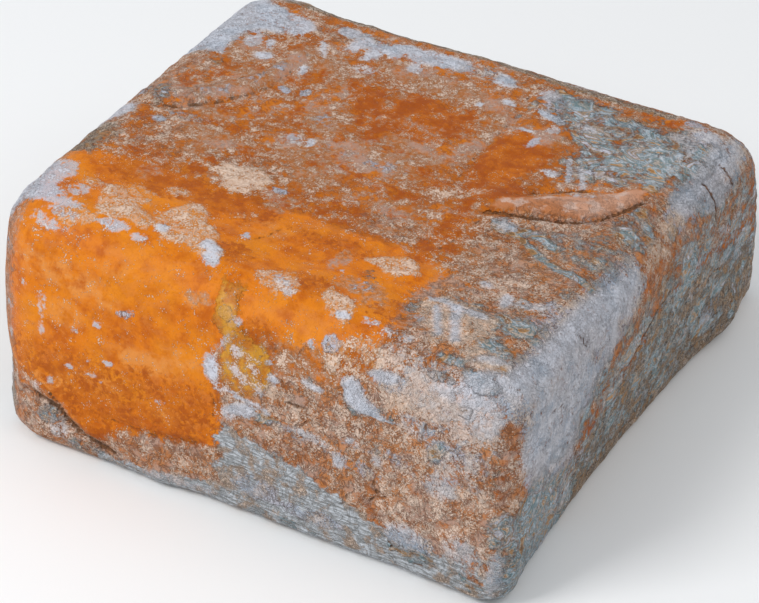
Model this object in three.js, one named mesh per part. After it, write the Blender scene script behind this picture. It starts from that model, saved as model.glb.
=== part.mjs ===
import * as THREE from 'three';
import { mergeVertices } from 'three/addons/utils/BufferGeometryUtils.js';

// A square washed-rind cheese in one piece, standing on its flat foot.
// Millimetres, +Z up. The origin is the middle of the foot. The sharpest corner is at +X, -Y.

// Driving sizes
const LENGTH = 170; // along X, before the walls swell
const WIDTH = 170; // along Y, before the walls swell
const HEIGHT = 70; // foot to top, before the corners slump
const TOP_RIM = 12.3; // radius of the worn edge round the top
const FOOT_RIM = 4.7; // radius of the edge round the foot
const BELLY = 2.4; // how far each wall swells at half height

// The four upright corners: the radius in plan, and how far the soft paste has moved each
// corner of the top (x, y, z) and of the foot (x, y) away from a true block.
const CORNERS = [
  { side: [1, -1], radius: 8.5, top: [0.9, 0.5, 0.5], foot: [-1.4, -5.2] },
  { side: [1, 1], radius: 11.3, top: [1.9, -4.3, -4.7], foot: [1.4, 9] },
  { side: [-1, 1], radius: 14.2, top: [-1.9, -3.3, -0.9], foot: [-1.4, -2.4] },
  { side: [-1, -1], radius: 19.8, top: [-0.5, 7.1, 5.7], foot: [1.9, -0.9] },
];

// Broad swells and hollows left by the shelf and the hand. Each place is given in half
// lengths, half widths and heights. The reach and the push are in millimetres.
const SWELLS = {
  sharpCornerFoot: { at: [1, -1.03, 0.14], reach: [15, 15, 15], push: [3.4, -2.6, 0] },
  rightWallFoot: { at: [1.02, -0.09, 0.08], reach: [19, 42, 15], push: [-1.3, 0, 0] },
  farCornerFoot: { at: [1.02, 0.73, 0.11], reach: [19, 13, 10], push: [3.6, 0.5, 0] },
  leftCornerFoot: { at: [-0.96, -0.98, 0.08], reach: [15, 19, 13], push: [0.6, -1.5, 0] },
  frontFootBump: { at: [-0.3, -1.02, 0.07], reach: [6, 15, 7], push: [0, -1.5, 0] },
  frontFootHollow: { at: [-0.09, -1.02, 0.05], reach: [13, 15, 8], push: [0, 0.8, 0] },
  leftWallHollow: { at: [-0.98, -0.84, 0.27], reach: [15, 25, 14], push: [1.3, 0, 0] },
  backRim: { at: [-0.47, 0.98, 1], reach: [28, 13, 13], push: [0, -1, -0.9] },
};

// Folds that run across the top, each along a short line given in half lengths and half
// widths. The half width of a fold and its rise, which is negative in a crease, are in mm.
const FOLDS = {
  pasteRoll: {
    line: [[0.4, -0.01], [0.56, 0.03], [0.7, 0.1], [0.82, 0.21], [0.89, 0.33]],
    halfWidth: 6.5,
    rise: 2,
  },
  leftRidge: {
    line: [[-0.53, 0.53], [-0.59, 0.38], [-0.64, 0.22], [-0.74, 0.09], [-0.89, -0.04]],
    halfWidth: 4.7,
    rise: 1.5,
  },
  leftCrease: {
    line: [[-0.6, 0.27], [-0.69, 0.12], [-0.8, -0.02]],
    halfWidth: 2.8,
    rise: -1.5,
  },
};
const FOLD_FADE = 8; // how quickly a fold dies out below the top: a power of the height

// Mesh steps along each side and up each wall, and how far they crowd towards the edges
const SIDE_STEPS = 26;
const WALL_STEPS = 10;
const CROWDING = 0.3;

const HALF = [LENGTH / 2, WIDTH / 2];

const clampUnit = (value) => THREE.MathUtils.clamp(value, -1, 1);

// Moves a step between -1 and 1 towards the nearer end
function crowd(step) {
  return step * (1 + CROWDING - CROWDING * step * step);
}

// Rounds a point of the plan's outline where it passes one of the upright corners
function roundPlan(outline) {
  for (const { side, radius } of CORNERS) {
    const centre = [0, 1].map((i) => side[i] * (HALF[i] - radius));
    const away = [0, 1].map((i) => outline[i] - centre[i]);
    if (side[0] * away[0] > 0 && side[1] * away[1] > 0) {
      const far = Math.hypot(away[0], away[1]);
      return [0, 1].map((i) => centre[i] + (away[i] / far) * radius);
    }
  }
  return outline;
}

// Rounds the edge between a wall and the top or the foot. `inset` is the distance in from
// the wall, `drop` the distance from the top or the foot.
function roundRim(inset, drop, radius) {
  if (inset >= radius || drop >= radius) {
    return [inset, drop];
  }
  const far = Math.hypot(inset - radius, drop - radius);
  const scale = radius / Math.max(far, Number.EPSILON);
  return [radius + (inset - radius) * scale, radius + (drop - radius) * scale];
}

// A point of the unit box's surface, x and y from -1 to 1 and z from 0 to 1, as a point of
// the rounded block
function roundBlock(x, y, z) {
  const ring = Math.max(Math.abs(x), Math.abs(y));
  if (ring === 0) {
    return [0, 0, z * HEIGHT];
  }
  const outline = roundPlan([(x / ring) * HALF[0], (y / ring) * HALF[1]]);
  const span = Math.abs(x) >= Math.abs(y) ? HALF[0] : HALF[1];
  let inset = (1 - ring) * span;
  let drop = (1 - z) * HEIGHT;
  [inset, drop] = roundRim(inset, drop, TOP_RIM);
  let height = HEIGHT - drop;
  [inset, height] = roundRim(inset, height, FOOT_RIM);
  const share = 1 - inset / span;
  return [outline[0] * share, outline[1] * share, height];
}

// Swells the walls at half height
function swellWalls([x, y, z]) {
  const u = clampUnit(x / HALF[0]);
  const v = clampUnit(y / HALF[1]);
  const level = (2 * z) / HEIGHT - 1;
  const out = Math.max(Math.abs(u), Math.abs(v)) ** 4 * (1 - level * level) * BELLY;
  return [x + out * u, y + out * v, z];
}

// Moves the corners of the top and of the foot, and everything between them in proportion.
// u and v are the point's place across the block, from -1 to 1.
function slump([x, y, z], u, v) {
  const level = z / HEIGHT;
  for (const { side, top, foot } of CORNERS) {
    const weight = ((1 + side[0] * u) * (1 + side[1] * v)) / 4;
    x += weight * (level * top[0] + (1 - level) * foot[0]);
    y += weight * (level * top[1] + (1 - level) * foot[1]);
    z += weight * level * top[2];
  }
  return [x, y, z];
}

// Adds the broad swells and hollows
function pressSwells(point) {
  for (const { at, reach, push } of Object.values(SWELLS)) {
    const centre = [at[0] * HALF[0], at[1] * HALF[1], at[2] * HEIGHT];
    const away = point.map((value, i) => (value - centre[i]) / reach[i]);
    const strength = Math.exp(-(away[0] ** 2 + away[1] ** 2 + away[2] ** 2));
    point = point.map((value, i) => value + strength * push[i]);
  }
  return point;
}

// Shortest distance in plan from a point to a line of straight stretches
function distanceToLine(x, y, line) {
  const places = line.map(([u, v]) => new THREE.Vector3(u * HALF[0], v * HALF[1], 0));
  const point = new THREE.Vector3(x, y, 0);
  const nearest = new THREE.Vector3();
  let shortest = Infinity;
  for (let i = 1; i < places.length; i += 1) {
    new THREE.Line3(places[i - 1], places[i]).closestPointToPoint(point, true, nearest);
    shortest = Math.min(shortest, nearest.distanceTo(point));
  }
  return shortest;
}

// Raises the folds of the top and sinks its creases
function foldTop([x, y, z], level) {
  for (const { line, halfWidth, rise } of Object.values(FOLDS)) {
    const away = distanceToLine(x, y, line) / halfWidth;
    z += level ** FOLD_FADE * rise * Math.exp(-away * away);
  }
  return [x, y, z];
}

// One point of the unit box's surface as a point of the finished cheese
function cheesePoint(x, y, z) {
  const block = roundBlock(x, y, z);
  const u = clampUnit(block[0] / HALF[0]);
  const v = clampUnit(block[1] / HALF[1]);
  const leaning = slump(swellWalls(block), u, v);
  const [a, b, c] = foldTop(pressSwells(leaning), block[2] / HEIGHT);
  return [a, b, Math.max(c, 0)];
}

// The whole cheese as one closed surface, set down with its foot centred on the origin
function cheeseGeometry() {
  const box = new THREE.BoxGeometry(2, 2, 2, SIDE_STEPS, SIDE_STEPS, WALL_STEPS);
  box.deleteAttribute('normal');
  box.deleteAttribute('uv');
  const surface = mergeVertices(box);
  const points = surface.getAttribute('position');
  for (let i = 0; i < points.count; i += 1) {
    const level = (crowd(points.getZ(i)) + 1) / 2;
    points.setXYZ(i, ...cheesePoint(crowd(points.getX(i)), crowd(points.getY(i)), level));
  }
  surface.computeBoundingBox();
  const middle = surface.boundingBox.getCenter(new THREE.Vector3());
  surface.translate(-middle.x, -middle.y, -surface.boundingBox.min.z);
  surface.computeVertexNormals();
  return surface;
}

const rind = new THREE.MeshStandardMaterial({
  color: 0xb5764a,
  roughness: 0.55,
  metalness: 0,
});

const cheeseBlock = new THREE.Mesh(cheeseGeometry(), rind);
cheeseBlock.name = 'cheese_block';

const cheese = new THREE.Group();
cheese.add(cheeseBlock);

export default cheese;
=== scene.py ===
import math
from collections import namedtuple

import bpy
import numpy as np
from mathutils import Matrix, Vector


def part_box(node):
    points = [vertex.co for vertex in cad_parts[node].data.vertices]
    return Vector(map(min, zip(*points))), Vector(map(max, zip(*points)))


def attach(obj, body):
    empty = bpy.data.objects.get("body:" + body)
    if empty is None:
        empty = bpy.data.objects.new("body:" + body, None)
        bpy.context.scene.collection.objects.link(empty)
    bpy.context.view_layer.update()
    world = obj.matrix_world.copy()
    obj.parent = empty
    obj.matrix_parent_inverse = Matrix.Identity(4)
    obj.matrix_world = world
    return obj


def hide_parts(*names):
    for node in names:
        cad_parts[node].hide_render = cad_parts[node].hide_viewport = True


# A square washed-rind cheese. The form below is worked out in millimetres, with +Z up, the
# sharpest upright corner at +X -Y, and the foot at Z 0. It is then set down on the frame's
# own block. "Front" is the -Y wall and "right" the +X wall.

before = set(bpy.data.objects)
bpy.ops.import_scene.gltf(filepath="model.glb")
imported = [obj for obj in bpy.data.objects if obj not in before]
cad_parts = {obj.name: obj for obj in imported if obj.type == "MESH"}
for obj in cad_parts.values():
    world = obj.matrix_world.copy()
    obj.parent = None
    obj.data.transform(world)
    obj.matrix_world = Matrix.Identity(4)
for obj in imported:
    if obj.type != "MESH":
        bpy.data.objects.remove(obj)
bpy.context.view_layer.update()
block_low, block_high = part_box("cheese_block")

MM = 0.001

# ---------------------------------------------------------------- the block

LENGTH, WIDTH, HEIGHT = 170.0, 170.0, 70.0
HALF_LENGTH, HALF_WIDTH = LENGTH / 2, WIDTH / 2
TOP_RIM, FOOT_RIM = 12.3, 4.7  # radius of the edge round the top and round the foot
BELLY = 2.4  # how far each wall swells at half height
BELLY_POWER = 4  # how quickly that swell dies out behind the wall

# Upright corners: side, radius in plan, slump of the top (x, y, z) and of the foot (x, y)
CORNERS = (
    ((1, -1), 8.5, (0.9, 0.5, 0.5), (-1.4, -5.2)),
    ((1, 1), 11.3, (1.9, -4.3, -4.7), (1.4, 9.0)),
    ((-1, 1), 14.2, (-1.9, -3.3, -0.9), (-1.4, -2.4)),
    ((-1, -1), 19.8, (-0.5, 7.1, 5.7), (1.9, -0.9)),
)

# Broad swells and hollows: place in half lengths, half widths and heights, then the reach
# and the push in millimetres
SWELLS = (
    ((1, -1.03, 0.14), (15, 15, 15), (3.4, -2.6, 0)),
    ((1.02, -0.09, 0.08), (19, 42, 15), (-1.3, 0, 0)),
    ((1.02, 0.73, 0.11), (19, 13, 10), (3.6, 0.5, 0)),
    ((-0.96, -0.98, 0.08), (15, 19, 13), (0.6, -1.5, 0)),
    ((-0.3, -1.02, 0.07), (6, 15, 7), (0, -1.5, 0)),
    ((-0.09, -1.02, 0.05), (13, 15, 8), (0, 0.8, 0)),
    ((-0.98, -0.84, 0.27), (15, 25, 14), (1.3, 0, 0)),
    ((-0.47, 0.98, 1), (28, 13, 13), (0, -1, -0.9)),
)

SIDE_STEPS = 192
WALL_STEPS = 72
FOOT_BORDER = 8  # rows of fine faces kept round the foot
FOOT_STRIDE = 8  # the flat of the foot has one face for this many steps
TINY = 1e-9  # keeps a division away from zero


def grid_surface():
    """The surface of a box as points (x and y from -1 to 1, z from 0 to 1) and faces that look
    out. The flat of the foot is made of larger faces."""
    numbers, places, faces = {}, [], []

    def point(i, j, k):
        key = (i, j, k)
        if key not in numbers:
            numbers[key] = len(places)
            places.append((2 * i / SIDE_STEPS - 1, 2 * j / SIDE_STEPS - 1, k / WALL_STEPS))
        return numbers[key]

    def square(*corners):
        faces.append([point(*corner) for corner in corners])

    n, m = SIDE_STEPS, WALL_STEPS
    for i in range(n):
        for j in range(n):
            square((i, j, m), (i + 1, j, m), (i + 1, j + 1, m), (i, j + 1, m))
            if min(i, j, n - 1 - i, n - 1 - j) < FOOT_BORDER:
                square((i, j, 0), (i, j + 1, 0), (i + 1, j + 1, 0), (i + 1, j, 0))
        for k in range(m):
            square((i, 0, k), (i + 1, 0, k), (i + 1, 0, k + 1), (i, 0, k + 1))
            square((i, n, k), (i, n, k + 1), (i + 1, n, k + 1), (i + 1, n, k))
            square((0, i, k), (0, i, k + 1), (0, i + 1, k + 1), (0, i + 1, k))
            square((n, i, k), (n, i + 1, k), (n, i + 1, k + 1), (n, i, k + 1))
    for i in range(FOOT_BORDER, n - FOOT_BORDER, FOOT_STRIDE):
        for j in range(FOOT_BORDER, n - FOOT_BORDER, FOOT_STRIDE):
            square(*foot_tile(i, j))
    return np.array(places), faces


def foot_tile(i, j):
    """The outline of one large face of the foot. Where it meets the fine border it takes in
    the border's points, so that the surface stays closed."""
    low, high, step = FOOT_BORDER, SIDE_STEPS - FOOT_BORDER, FOOT_STRIDE
    walk = [(i, j + s) for s in range(step)]
    walk += [(i + s, j + step) for s in range(step)]
    walk += [(i + step, j + step - s) for s in range(step)]
    walk += [(i + step - s, j) for s in range(step)]
    tile = []
    for a, b in walk:
        is_corner = (a - low) % step == 0 and (b - low) % step == 0
        if is_corner or a in (low, high) or b in (low, high):
            tile.append((a, b, 0))
    return tile


def round_plan(x, y):
    """Points of the plan's outline, rounded at the four upright corners."""
    for (side_x, side_y), radius, _, _ in CORNERS:
        centre_x = side_x * (HALF_LENGTH - radius)
        centre_y = side_y * (HALF_WIDTH - radius)
        beyond = (side_x * (x - centre_x) > 0) & (side_y * (y - centre_y) > 0)
        far = np.maximum(np.hypot(x - centre_x, y - centre_y), TINY)
        x, y = (
            np.where(beyond, centre_x + (x - centre_x) / far * radius, x),
            np.where(beyond, centre_y + (y - centre_y) / far * radius, y),
        )
    return x, y


def round_rim(inset, drop, radius):
    """Rounds the edge between a wall and the top or the foot."""
    near = (inset < radius) & (drop < radius)
    scale = radius / np.maximum(np.hypot(inset - radius, drop - radius), TINY)
    return (
        np.where(near, radius + (inset - radius) * scale, inset),
        np.where(near, radius + (drop - radius) * scale, drop),
    )


def round_block(box):
    """Points of the box's surface as points of the rounded block, in millimetres."""
    x, y, z = box.T
    ring = np.maximum(np.maximum(abs(x), abs(y)), TINY)
    outline_x, outline_y = round_plan(x / ring * HALF_LENGTH, y / ring * HALF_WIDTH)
    span = np.where(abs(x) >= abs(y), HALF_LENGTH, HALF_WIDTH)
    inset, drop = round_rim((1 - ring) * span, (1 - z) * HEIGHT, TOP_RIM)
    inset, height = round_rim(inset, HEIGHT - drop, FOOT_RIM)
    share = 1 - inset / span
    return np.stack([outline_x * share, outline_y * share, height], 1)


def settle(block):
    """Swells the walls, lets the corners slump, and adds the broad swells and hollows."""
    x, y, z = block.T
    u = np.clip(x / HALF_LENGTH, -1, 1)
    v = np.clip(y / HALF_WIDTH, -1, 1)
    level = z / HEIGHT
    out = np.maximum(abs(u), abs(v)) ** BELLY_POWER * (1 - (2 * level - 1) ** 2) * BELLY
    x, y, z = x + out * u, y + out * v, z.copy()
    for (side_x, side_y), _, top, foot in CORNERS:
        weight = (1 + side_x * u) * (1 + side_y * v) / 4
        x += weight * (level * top[0] + (1 - level) * foot[0])
        y += weight * (level * top[1] + (1 - level) * foot[1])
        z += weight * level * top[2]
    points = np.stack([x, y, z], 1)
    for at, reach, push in SWELLS:
        centre = np.array(at) * (HALF_LENGTH, HALF_WIDTH, HEIGHT)
        strength = np.exp(-(((points - centre) / reach) ** 2).sum(1))
        points = points + strength[:, None] * np.array(push)
    return points


# ---------------------------------------------------------------- marks on the rind

# A mark lies on one face of the block, in millimetres along that face: across and up. It is
# a dab (an oval), a stroke (a line with a width) or an area (an outline). Marks of one kind
# join up, and one with a negative strength takes the kind away again.

WRAP = 7.0  # how far a mark reaches round an edge, unless it says otherwise
REACH = 2.5 * WRAP  # further off its face than this no mark is worked out
DAB_EDGE = (1.35, 0.65)  # where a dab fades out and where it is full, as shares of its half sizes
STROKE_EDGE = (1.5, 0.5)  # the same for a stroke, and for an area where it goes round an edge


def smooth(low, high, value):
    """Rises smoothly from 0 to 1 as the value goes from low to high."""
    share = np.clip((value - low) / (high - low), 0, 1)
    return share * share * (3 - 2 * share)


def dab(across, up, half_across, half_up, strength=1.0, turn=0.0):
    """An oval: its middle, its half sizes, its strength, and its turn in degrees."""

    def field(a, b, off):
        c, s = math.cos(math.radians(turn)), math.sin(math.radians(turn))
        along = ((a - across) * c + (b - up) * s) / half_across
        beside = ((b - up) * c - (a - across) * s) / half_up
        return strength * smooth(*DAB_EDGE, np.sqrt(along**2 + beside**2 + (off / WRAP) ** 2))

    return field


def dabs(*marks):
    """A row of dabs: each one's middle, half sizes, strength and, where it is turned, turn."""
    return [dab(*mark) for mark in marks]


def line_distance(a, b, line):
    """Shortest distance to a line of straight stretches."""
    nearest = np.full(a.shape, np.inf)
    for (a0, b0), (a1, b1) in zip(line[:-1], line[1:]):
        run, climb = a1 - a0, b1 - b0
        share = np.clip(((a - a0) * run + (b - b0) * climb) / (run * run + climb * climb), 0, 1)
        nearest = np.minimum(nearest, np.hypot(a - a0 - share * run, b - b0 - share * climb))
    return nearest


def stroke(half, strength, *line, wrap=WRAP):
    """A line with the given half width."""

    def field(a, b, off):
        away = np.sqrt((line_distance(a, b, line) / half) ** 2 + (off / wrap) ** 2)
        return strength * smooth(*STROKE_EDGE, away)

    return field


def area(soft, strength, *outline, wrap=WRAP):
    """The inside of an outline. Its edge fades over the soft distance, inwards and outwards."""

    def field(a, b, off):
        inside = np.zeros(a.shape, bool)
        for (a0, b0), (a1, b1) in zip(outline, outline[1:] + outline[:1]):
            if b0 != b1:
                crossing = a0 + (b - b0) * (a1 - a0) / (b1 - b0)
                inside ^= ((b0 > b) != (b1 > b)) & (a < crossing)
        edge = line_distance(a, b, outline + outline[:1])
        depth = np.where(inside, edge, -edge)
        return strength * smooth(-soft, soft, depth) * smooth(*STROKE_EDGE, off / wrap)

    return field


# Bright, wet, orange paste
WET = {
    "top": (
        area(4, 1.0, (-82, -40), (-60, -38), (-40, -38), (-18, -40), (-4, -38), (18, -38), (36, -38),
             (50, -46), (48, -56), (38, -64), (46, -72), (40, -82), (-80, -82)),
        *dabs(
            (32, 24, 8, 16, 0.7), (-2, 33, 12, 9, 0.3),
        ),
    ),
    "front": (
        area(1.2, 1.0, (-96, 76), (14, 76), (9, 64), (-2, 62), (-5, 55), (-9, 50), (-8, 42), (-6, 38),
             (-7, 35), (-4, 32), (-5.5, 28), (-2.5, 25), (-4, 22), (-8, 21.5), (-14, 22), (-20, 20.5),
             (-36, 17), (-46, 11), (-54, 14), (-61, 21), (-68, 25), (-96, 22), wrap=14),
        *dabs(
            (20, 66, 14, 6, 0.7), (26, 58, 4, 3.5, 0.6),
        ),
    ),
    "left": (dab(-80, 50, 14, 24, 0.9), dab(-60, 30, 18, 10, 0.4)),
}

# Deep rust with no bloom on it
RUST = {
    "top": (
        area(1.5, 1.0, (-11, 42), (-2, 42), (4, 38), (9, 43), (13, 40), (16, 31), (14, 24), (8, 22),
             (12, 19), (4, 16.5), (-6, 17), (-11, 11), (-17, 16), (-21, 22), (-25, 28), (-31, 38),
             (-27, 40), (-22, 36), (-20, 40), (-16, 35), (-14, 30), (-12, 36)),
        area(1.5, 1.0, (23, 39), (31, 39), (33, 34), (37, 36), (42, 33), (41, 22), (37, 18), (38, 12),
             (44, 9), (45, 3), (40, -2), (33, -4), (27, 1), (24, 8), (23, 20)),
        *dabs(
            (-44, 30, 3.5, 5, 0.9, 10), (-38, 36, 1.8, 5, 0.7, 15), (-66, 20, 2.4, 5, 0.9),
            (-71, 11, 3.5, 7, 0.9, 10), (-57, 28, 4, 2, 0.8, -30), (-58, 17, 1.8, 2, 0.7),
            (-50, 5, 8, 5, 0.35), (-34, 12, 3, 6, 0.6, 25), (-28, 6, 9, 1.4, 0.8, -35),
            (-26, 16.5, 1.6, 1.6, 0.9), (-16, 4, 2, 2.5, 0.9), (14, 2, 3.5, 2, 0.9, -20),
            (20, -1, 4, 2.5, 0.9), (-17, -11, 1.6, 5, 0.8), (-36, -17, 4, 4, 0.7), (-43, -30, 3, 7, 0.9),
            (-60, -34, 8, 6, 0.85), (-45, -6, 9, 2, 0.5), (-70, -14, 5, 4, 0.5), (33, -28, 4.5, 16, 0.9),
            (32, -10, 2.5, 7, 0.8), (40, -30, 2.5, 8, 0.6), (50, -30, 5, 6, 0.5), (52, -20, 8, 2.5, 0.5),
            (18, -22, 5, 4, 0.55), (4, -31, 10, 7, 0.7), (-14, -33, 8, 6, 0.6), (-9, -9, 9, 5, 0.55, -20),
            (-4, 10, 9, 3.5, 0.55), (-80, -34, 6, 8, 0.7), (77, 15, 4, 7, 0.8, -15), (52, -61, 6, 5, 0.6),
            (12, -13, 9, 4, 0.65), (-45, -44, 22, 7, 0.9), (-22, -44, 12, 6, 0.8), (10, -46, 14, 4, 0.5),
            (-12, -66, 6, 5, 0.6), (15, -68, 7, 5, 0.6), (40, -68, 8, 6, 0.5), (-47, 66, 3, 4, 0.6),
            (66, 67, 4, 3, 0.9), (57, 68, 4, 1.5, 0.8, -20), (53, 51, 4, 1.4, 0.7, -45),
            (56, 47, 3, 1.6, 0.8, -35), (80, -22, 2, 4, 0.6),
        ),
    ),
    "front": (
        # A broad, soft patch of the rust colour that makes the lower left of the front darker.
        area(6, 0.6, (-90, 34), (-50, 36), (-6, 40), (-6, 18), (-20, 17), (-54, 12), (-66, 22), (-90, 20)),
        *dabs(
            (-82, 55, 6, 12, 0.5), (-78, 16, 8, 7, 0.6), (-42, 10.5, 10, 3.5, 0.9), (-25, 14, 7, 3, 0.4),
            (-2, 24, 4, 8, 0.3), (-5, 62, 4, 3, 0.6), (6, 62, 6, 4, 0.6), (24, 60, 6, 3, 0.6),
            (18, 48, 12, 2, 0.5), (30, 27, 14, 3, 0.4), (42, 18, 6, 3.5, 0.9), (58, 19, 4, 2.5, 0.7),
            (46, 26, 4, 4, 0.5), (46, 46, 6, 5, 0.4), (83, 47, 2.2, 9, 1.0, -6), (83, 36, 3, 4, 1.0),
            (82, 60, 2, 5, 0.6), (72, 46, 4, 1.6, 0.6), (61, 53, 3, 1, 0.6), (14, 25, 2, 1.2, 0.9),
        ),
    ),
    "right": (
        area(2.5, 0.7, (-6, 62), (0, 67), (24, 64), (25, 55), (21, 50), (18, 46), (10, 49), (3, 54),
             (-4, 50), (-8, 55)),
        *dabs(
            (-79, 55, 5, 7, 0.9), (-72, 60, 4, 3, 0.6), (-84, 46, 2.5, 9, 0.9), (-81, 38, 4, 4, 0.9, -20),
            (-85, 22, 5.5, 6, 0.9), (-34, 52, 5, 2, 0.7, -40), (-20, 54, 2.5, 4, 0.6, 25),
            (-40, 60, 3, 4, 0.5), (51, 52, 7, 2.5, 0.9, -30), (74, 44, 5, 8, 0.8), (66, 52, 4, 3, 0.5),
            (74, 62, 4, 2, 0.8), (-24, 12, 3, 6, 0.9, 25), (-38, 30, 7, 4, 0.5), (-24, 27, 4, 3, 0.5),
            (27, 11.5, 5, 3, 0.8), (75, 22, 8, 3, 0.5, -25), (5, 12, 4, 3, 0.5), (60, 10, 3, 1.5, 0.8),
        ),
    ),
    "left": (
        *dabs(
            (-20, 45, 10, 8, 0.7), (20, 55, 12, 6, 0.6), (45, 30, 12, 8, 0.7), (-45, 62, 9, 5, 0.8),
            (5, 20, 14, 5, 0.6), (70, 45, 6, 10, 0.7),
        ),
    ),
    "back": (
        area(3, 0.7, (-70, 62), (-60, 74), (80, 74), (78, 60), (50, 62), (20, 58), (-20, 64)),
        *dabs(
            (-40, 40, 14, 8, 0.7), (10, 36, 10, 10, 0.7), (50, 48, 12, 6, 0.6), (-10, 16, 12, 5, 0.5),
        ),
    ),
}

# Thin mauve bloom over the orange
BLOOM = {
    "top": (
        area(5, 0.42, (-84, 84), (84, 84), (84, -40), (48, -38), (-50, -36), (-84, -36), wrap=10),
        area(3, 0.72, (-46, 46), (-40, 45), (-32, 43), (-30, 36), (-24, 26), (-16, 12), (-8, 6), (4, 4),
             (14, 6), (20, 14), (22, 30), (22, 44), (16, 52), (0, 54), (-20, 56), (-30, 50), (-16, 46),
             (0, 46), (12, 46), (18, 34), (17, 24), (14, 14), (6, 15), (-4, 15), (-11, 8), (-18, 13),
             (-24, 22), (-30, 32), (-40, 38)),
        stroke(4, 1.0, (-47, 44), (-50, 30), (-56, 16), (-67, 4), (-80, 0)),
        *dabs(
            (2, 13, 7, 3.5, 0.9), (-26, 12, 9, 5, 0.9, -40), (-5, -1, 18, 6, 0.8), (-4, 50, 14, 5, 0.9),
            (10, 28, 5, 3, 0.6), (-38, 42, 6, 5, 0.7), (-66, 36, 9, 7, 0.6), (-57, 23, 5, 6, 0.8),
            (-72, 22, 5, 4, 0.6), (-50, -14, 14, 4, 0.8), (-57, -2, 8, 4, 0.6), (-48, -22, 6, 6, 0.6),
            (-14, -14, 9, 9, 0.7), (-24, -8, 6, 5, 0.8), (16, -21, 7, 4, 0.7), (20, -32, 12, 2.5, 0.7),
            (-13, -36, 5, 6, 0.7), (-54, -42, 4, 4, 0.8), (-34, -29, 6, 4, 0.7), (15, -52, 2.5, 7, 0.7),
            (26, -62, 8, 5, 0.6), (33, -66, 4, 6, 0.5), (60, -30, 13, 10, 0.8), (65, -12, 10, 6, 0.8),
            (47, -50, 6, 8, 0.6), (46, -28, 5, 10, 0.7), (30, 60, 6, 6, 0.6), (36, 40, 5, 5, 0.7),
            (12, 72, 5, 3, 0.5), (33, -12, 4, 5, 0.4), (-43, 46, 8, 5, 0.4), (1, 33, 9, 7, -0.6),
            (-22, 30, 5, 8, -0.6), (30, 14, 8, 16, -0.95), (29, 30, 6, 8, -0.9), (41, 6, 5, 5, -0.8),
            (33, -28, 4, 14, -0.8), (-2, -30, 7, 6, -0.4),
        ),
    ),
    "front": (
        area(3, 0.62, (-4, 40), (-8, 52), (2, 60), (30, 66), (60, 70), (96, 76), (96, -4), (-96, -4),
             (-96, 24), (-66, 22), (-54, 15), (-46, 10), (-36, 16), (-20, 19), (-8, 21), (-3, 24), wrap=9),
        *dabs(
            (-62, 13, 10, 5, 0.8), (-30, 6, 16, 3, 0.7), (-12, 14, 8, 4, 0.7), (-14, 66, 5, 2, 0.6),
            (16, 44, 10, 5, 0.5), (48, 56, 10, 7, 0.6), (24, 35, 10, 3, 0.9), (57, 40, 10, 8, 0.7),
            (-20, 8, 3, 2, -0.5),
        ),
    ),
    "right": (
        area(5, 0.5, (-96, 76), (96, 76), (96, 40), (40, 44), (0, 46), (-46, 30), (-96, 10), wrap=9),
        *dabs(
            (-40, 57, 20, 6, 0.8), (10, 46, 14, 4, 0.6), (16, 57, 14, 5, 0.8), (66, 56, 18, 7, 0.9),
            (-50, 50, 10, 8, 0.6), (-45, 16, 8, 8, 0.5), (-14, 22, 6, 8, 0.4),
        ),
    ),
    "left": (
        area(5, 0.6, (-96, 76), (96, 76), (96, -4), (-96, -4), wrap=9),
        *dabs(
            (0, 62, 20, 6, 0.8), (-35, 40, 12, 10, 0.8), (40, 48, 10, 9, 0.8), (-5, 34, 10, 6, 0.7),
        ),
    ),
    "back": (
        area(5, 0.62, (-96, 76), (96, 76), (96, -4), (-96, -4), wrap=9),
        *dabs(
            (-60, 50, 10, 10, 0.8), (-10, 55, 14, 6, 0.7), (40, 34, 16, 8, 0.8),
        ),
    ),
    "foot": (area(5, 0.7, (-96, -96), (96, -96), (96, 96), (-96, 96)),),
}

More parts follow.
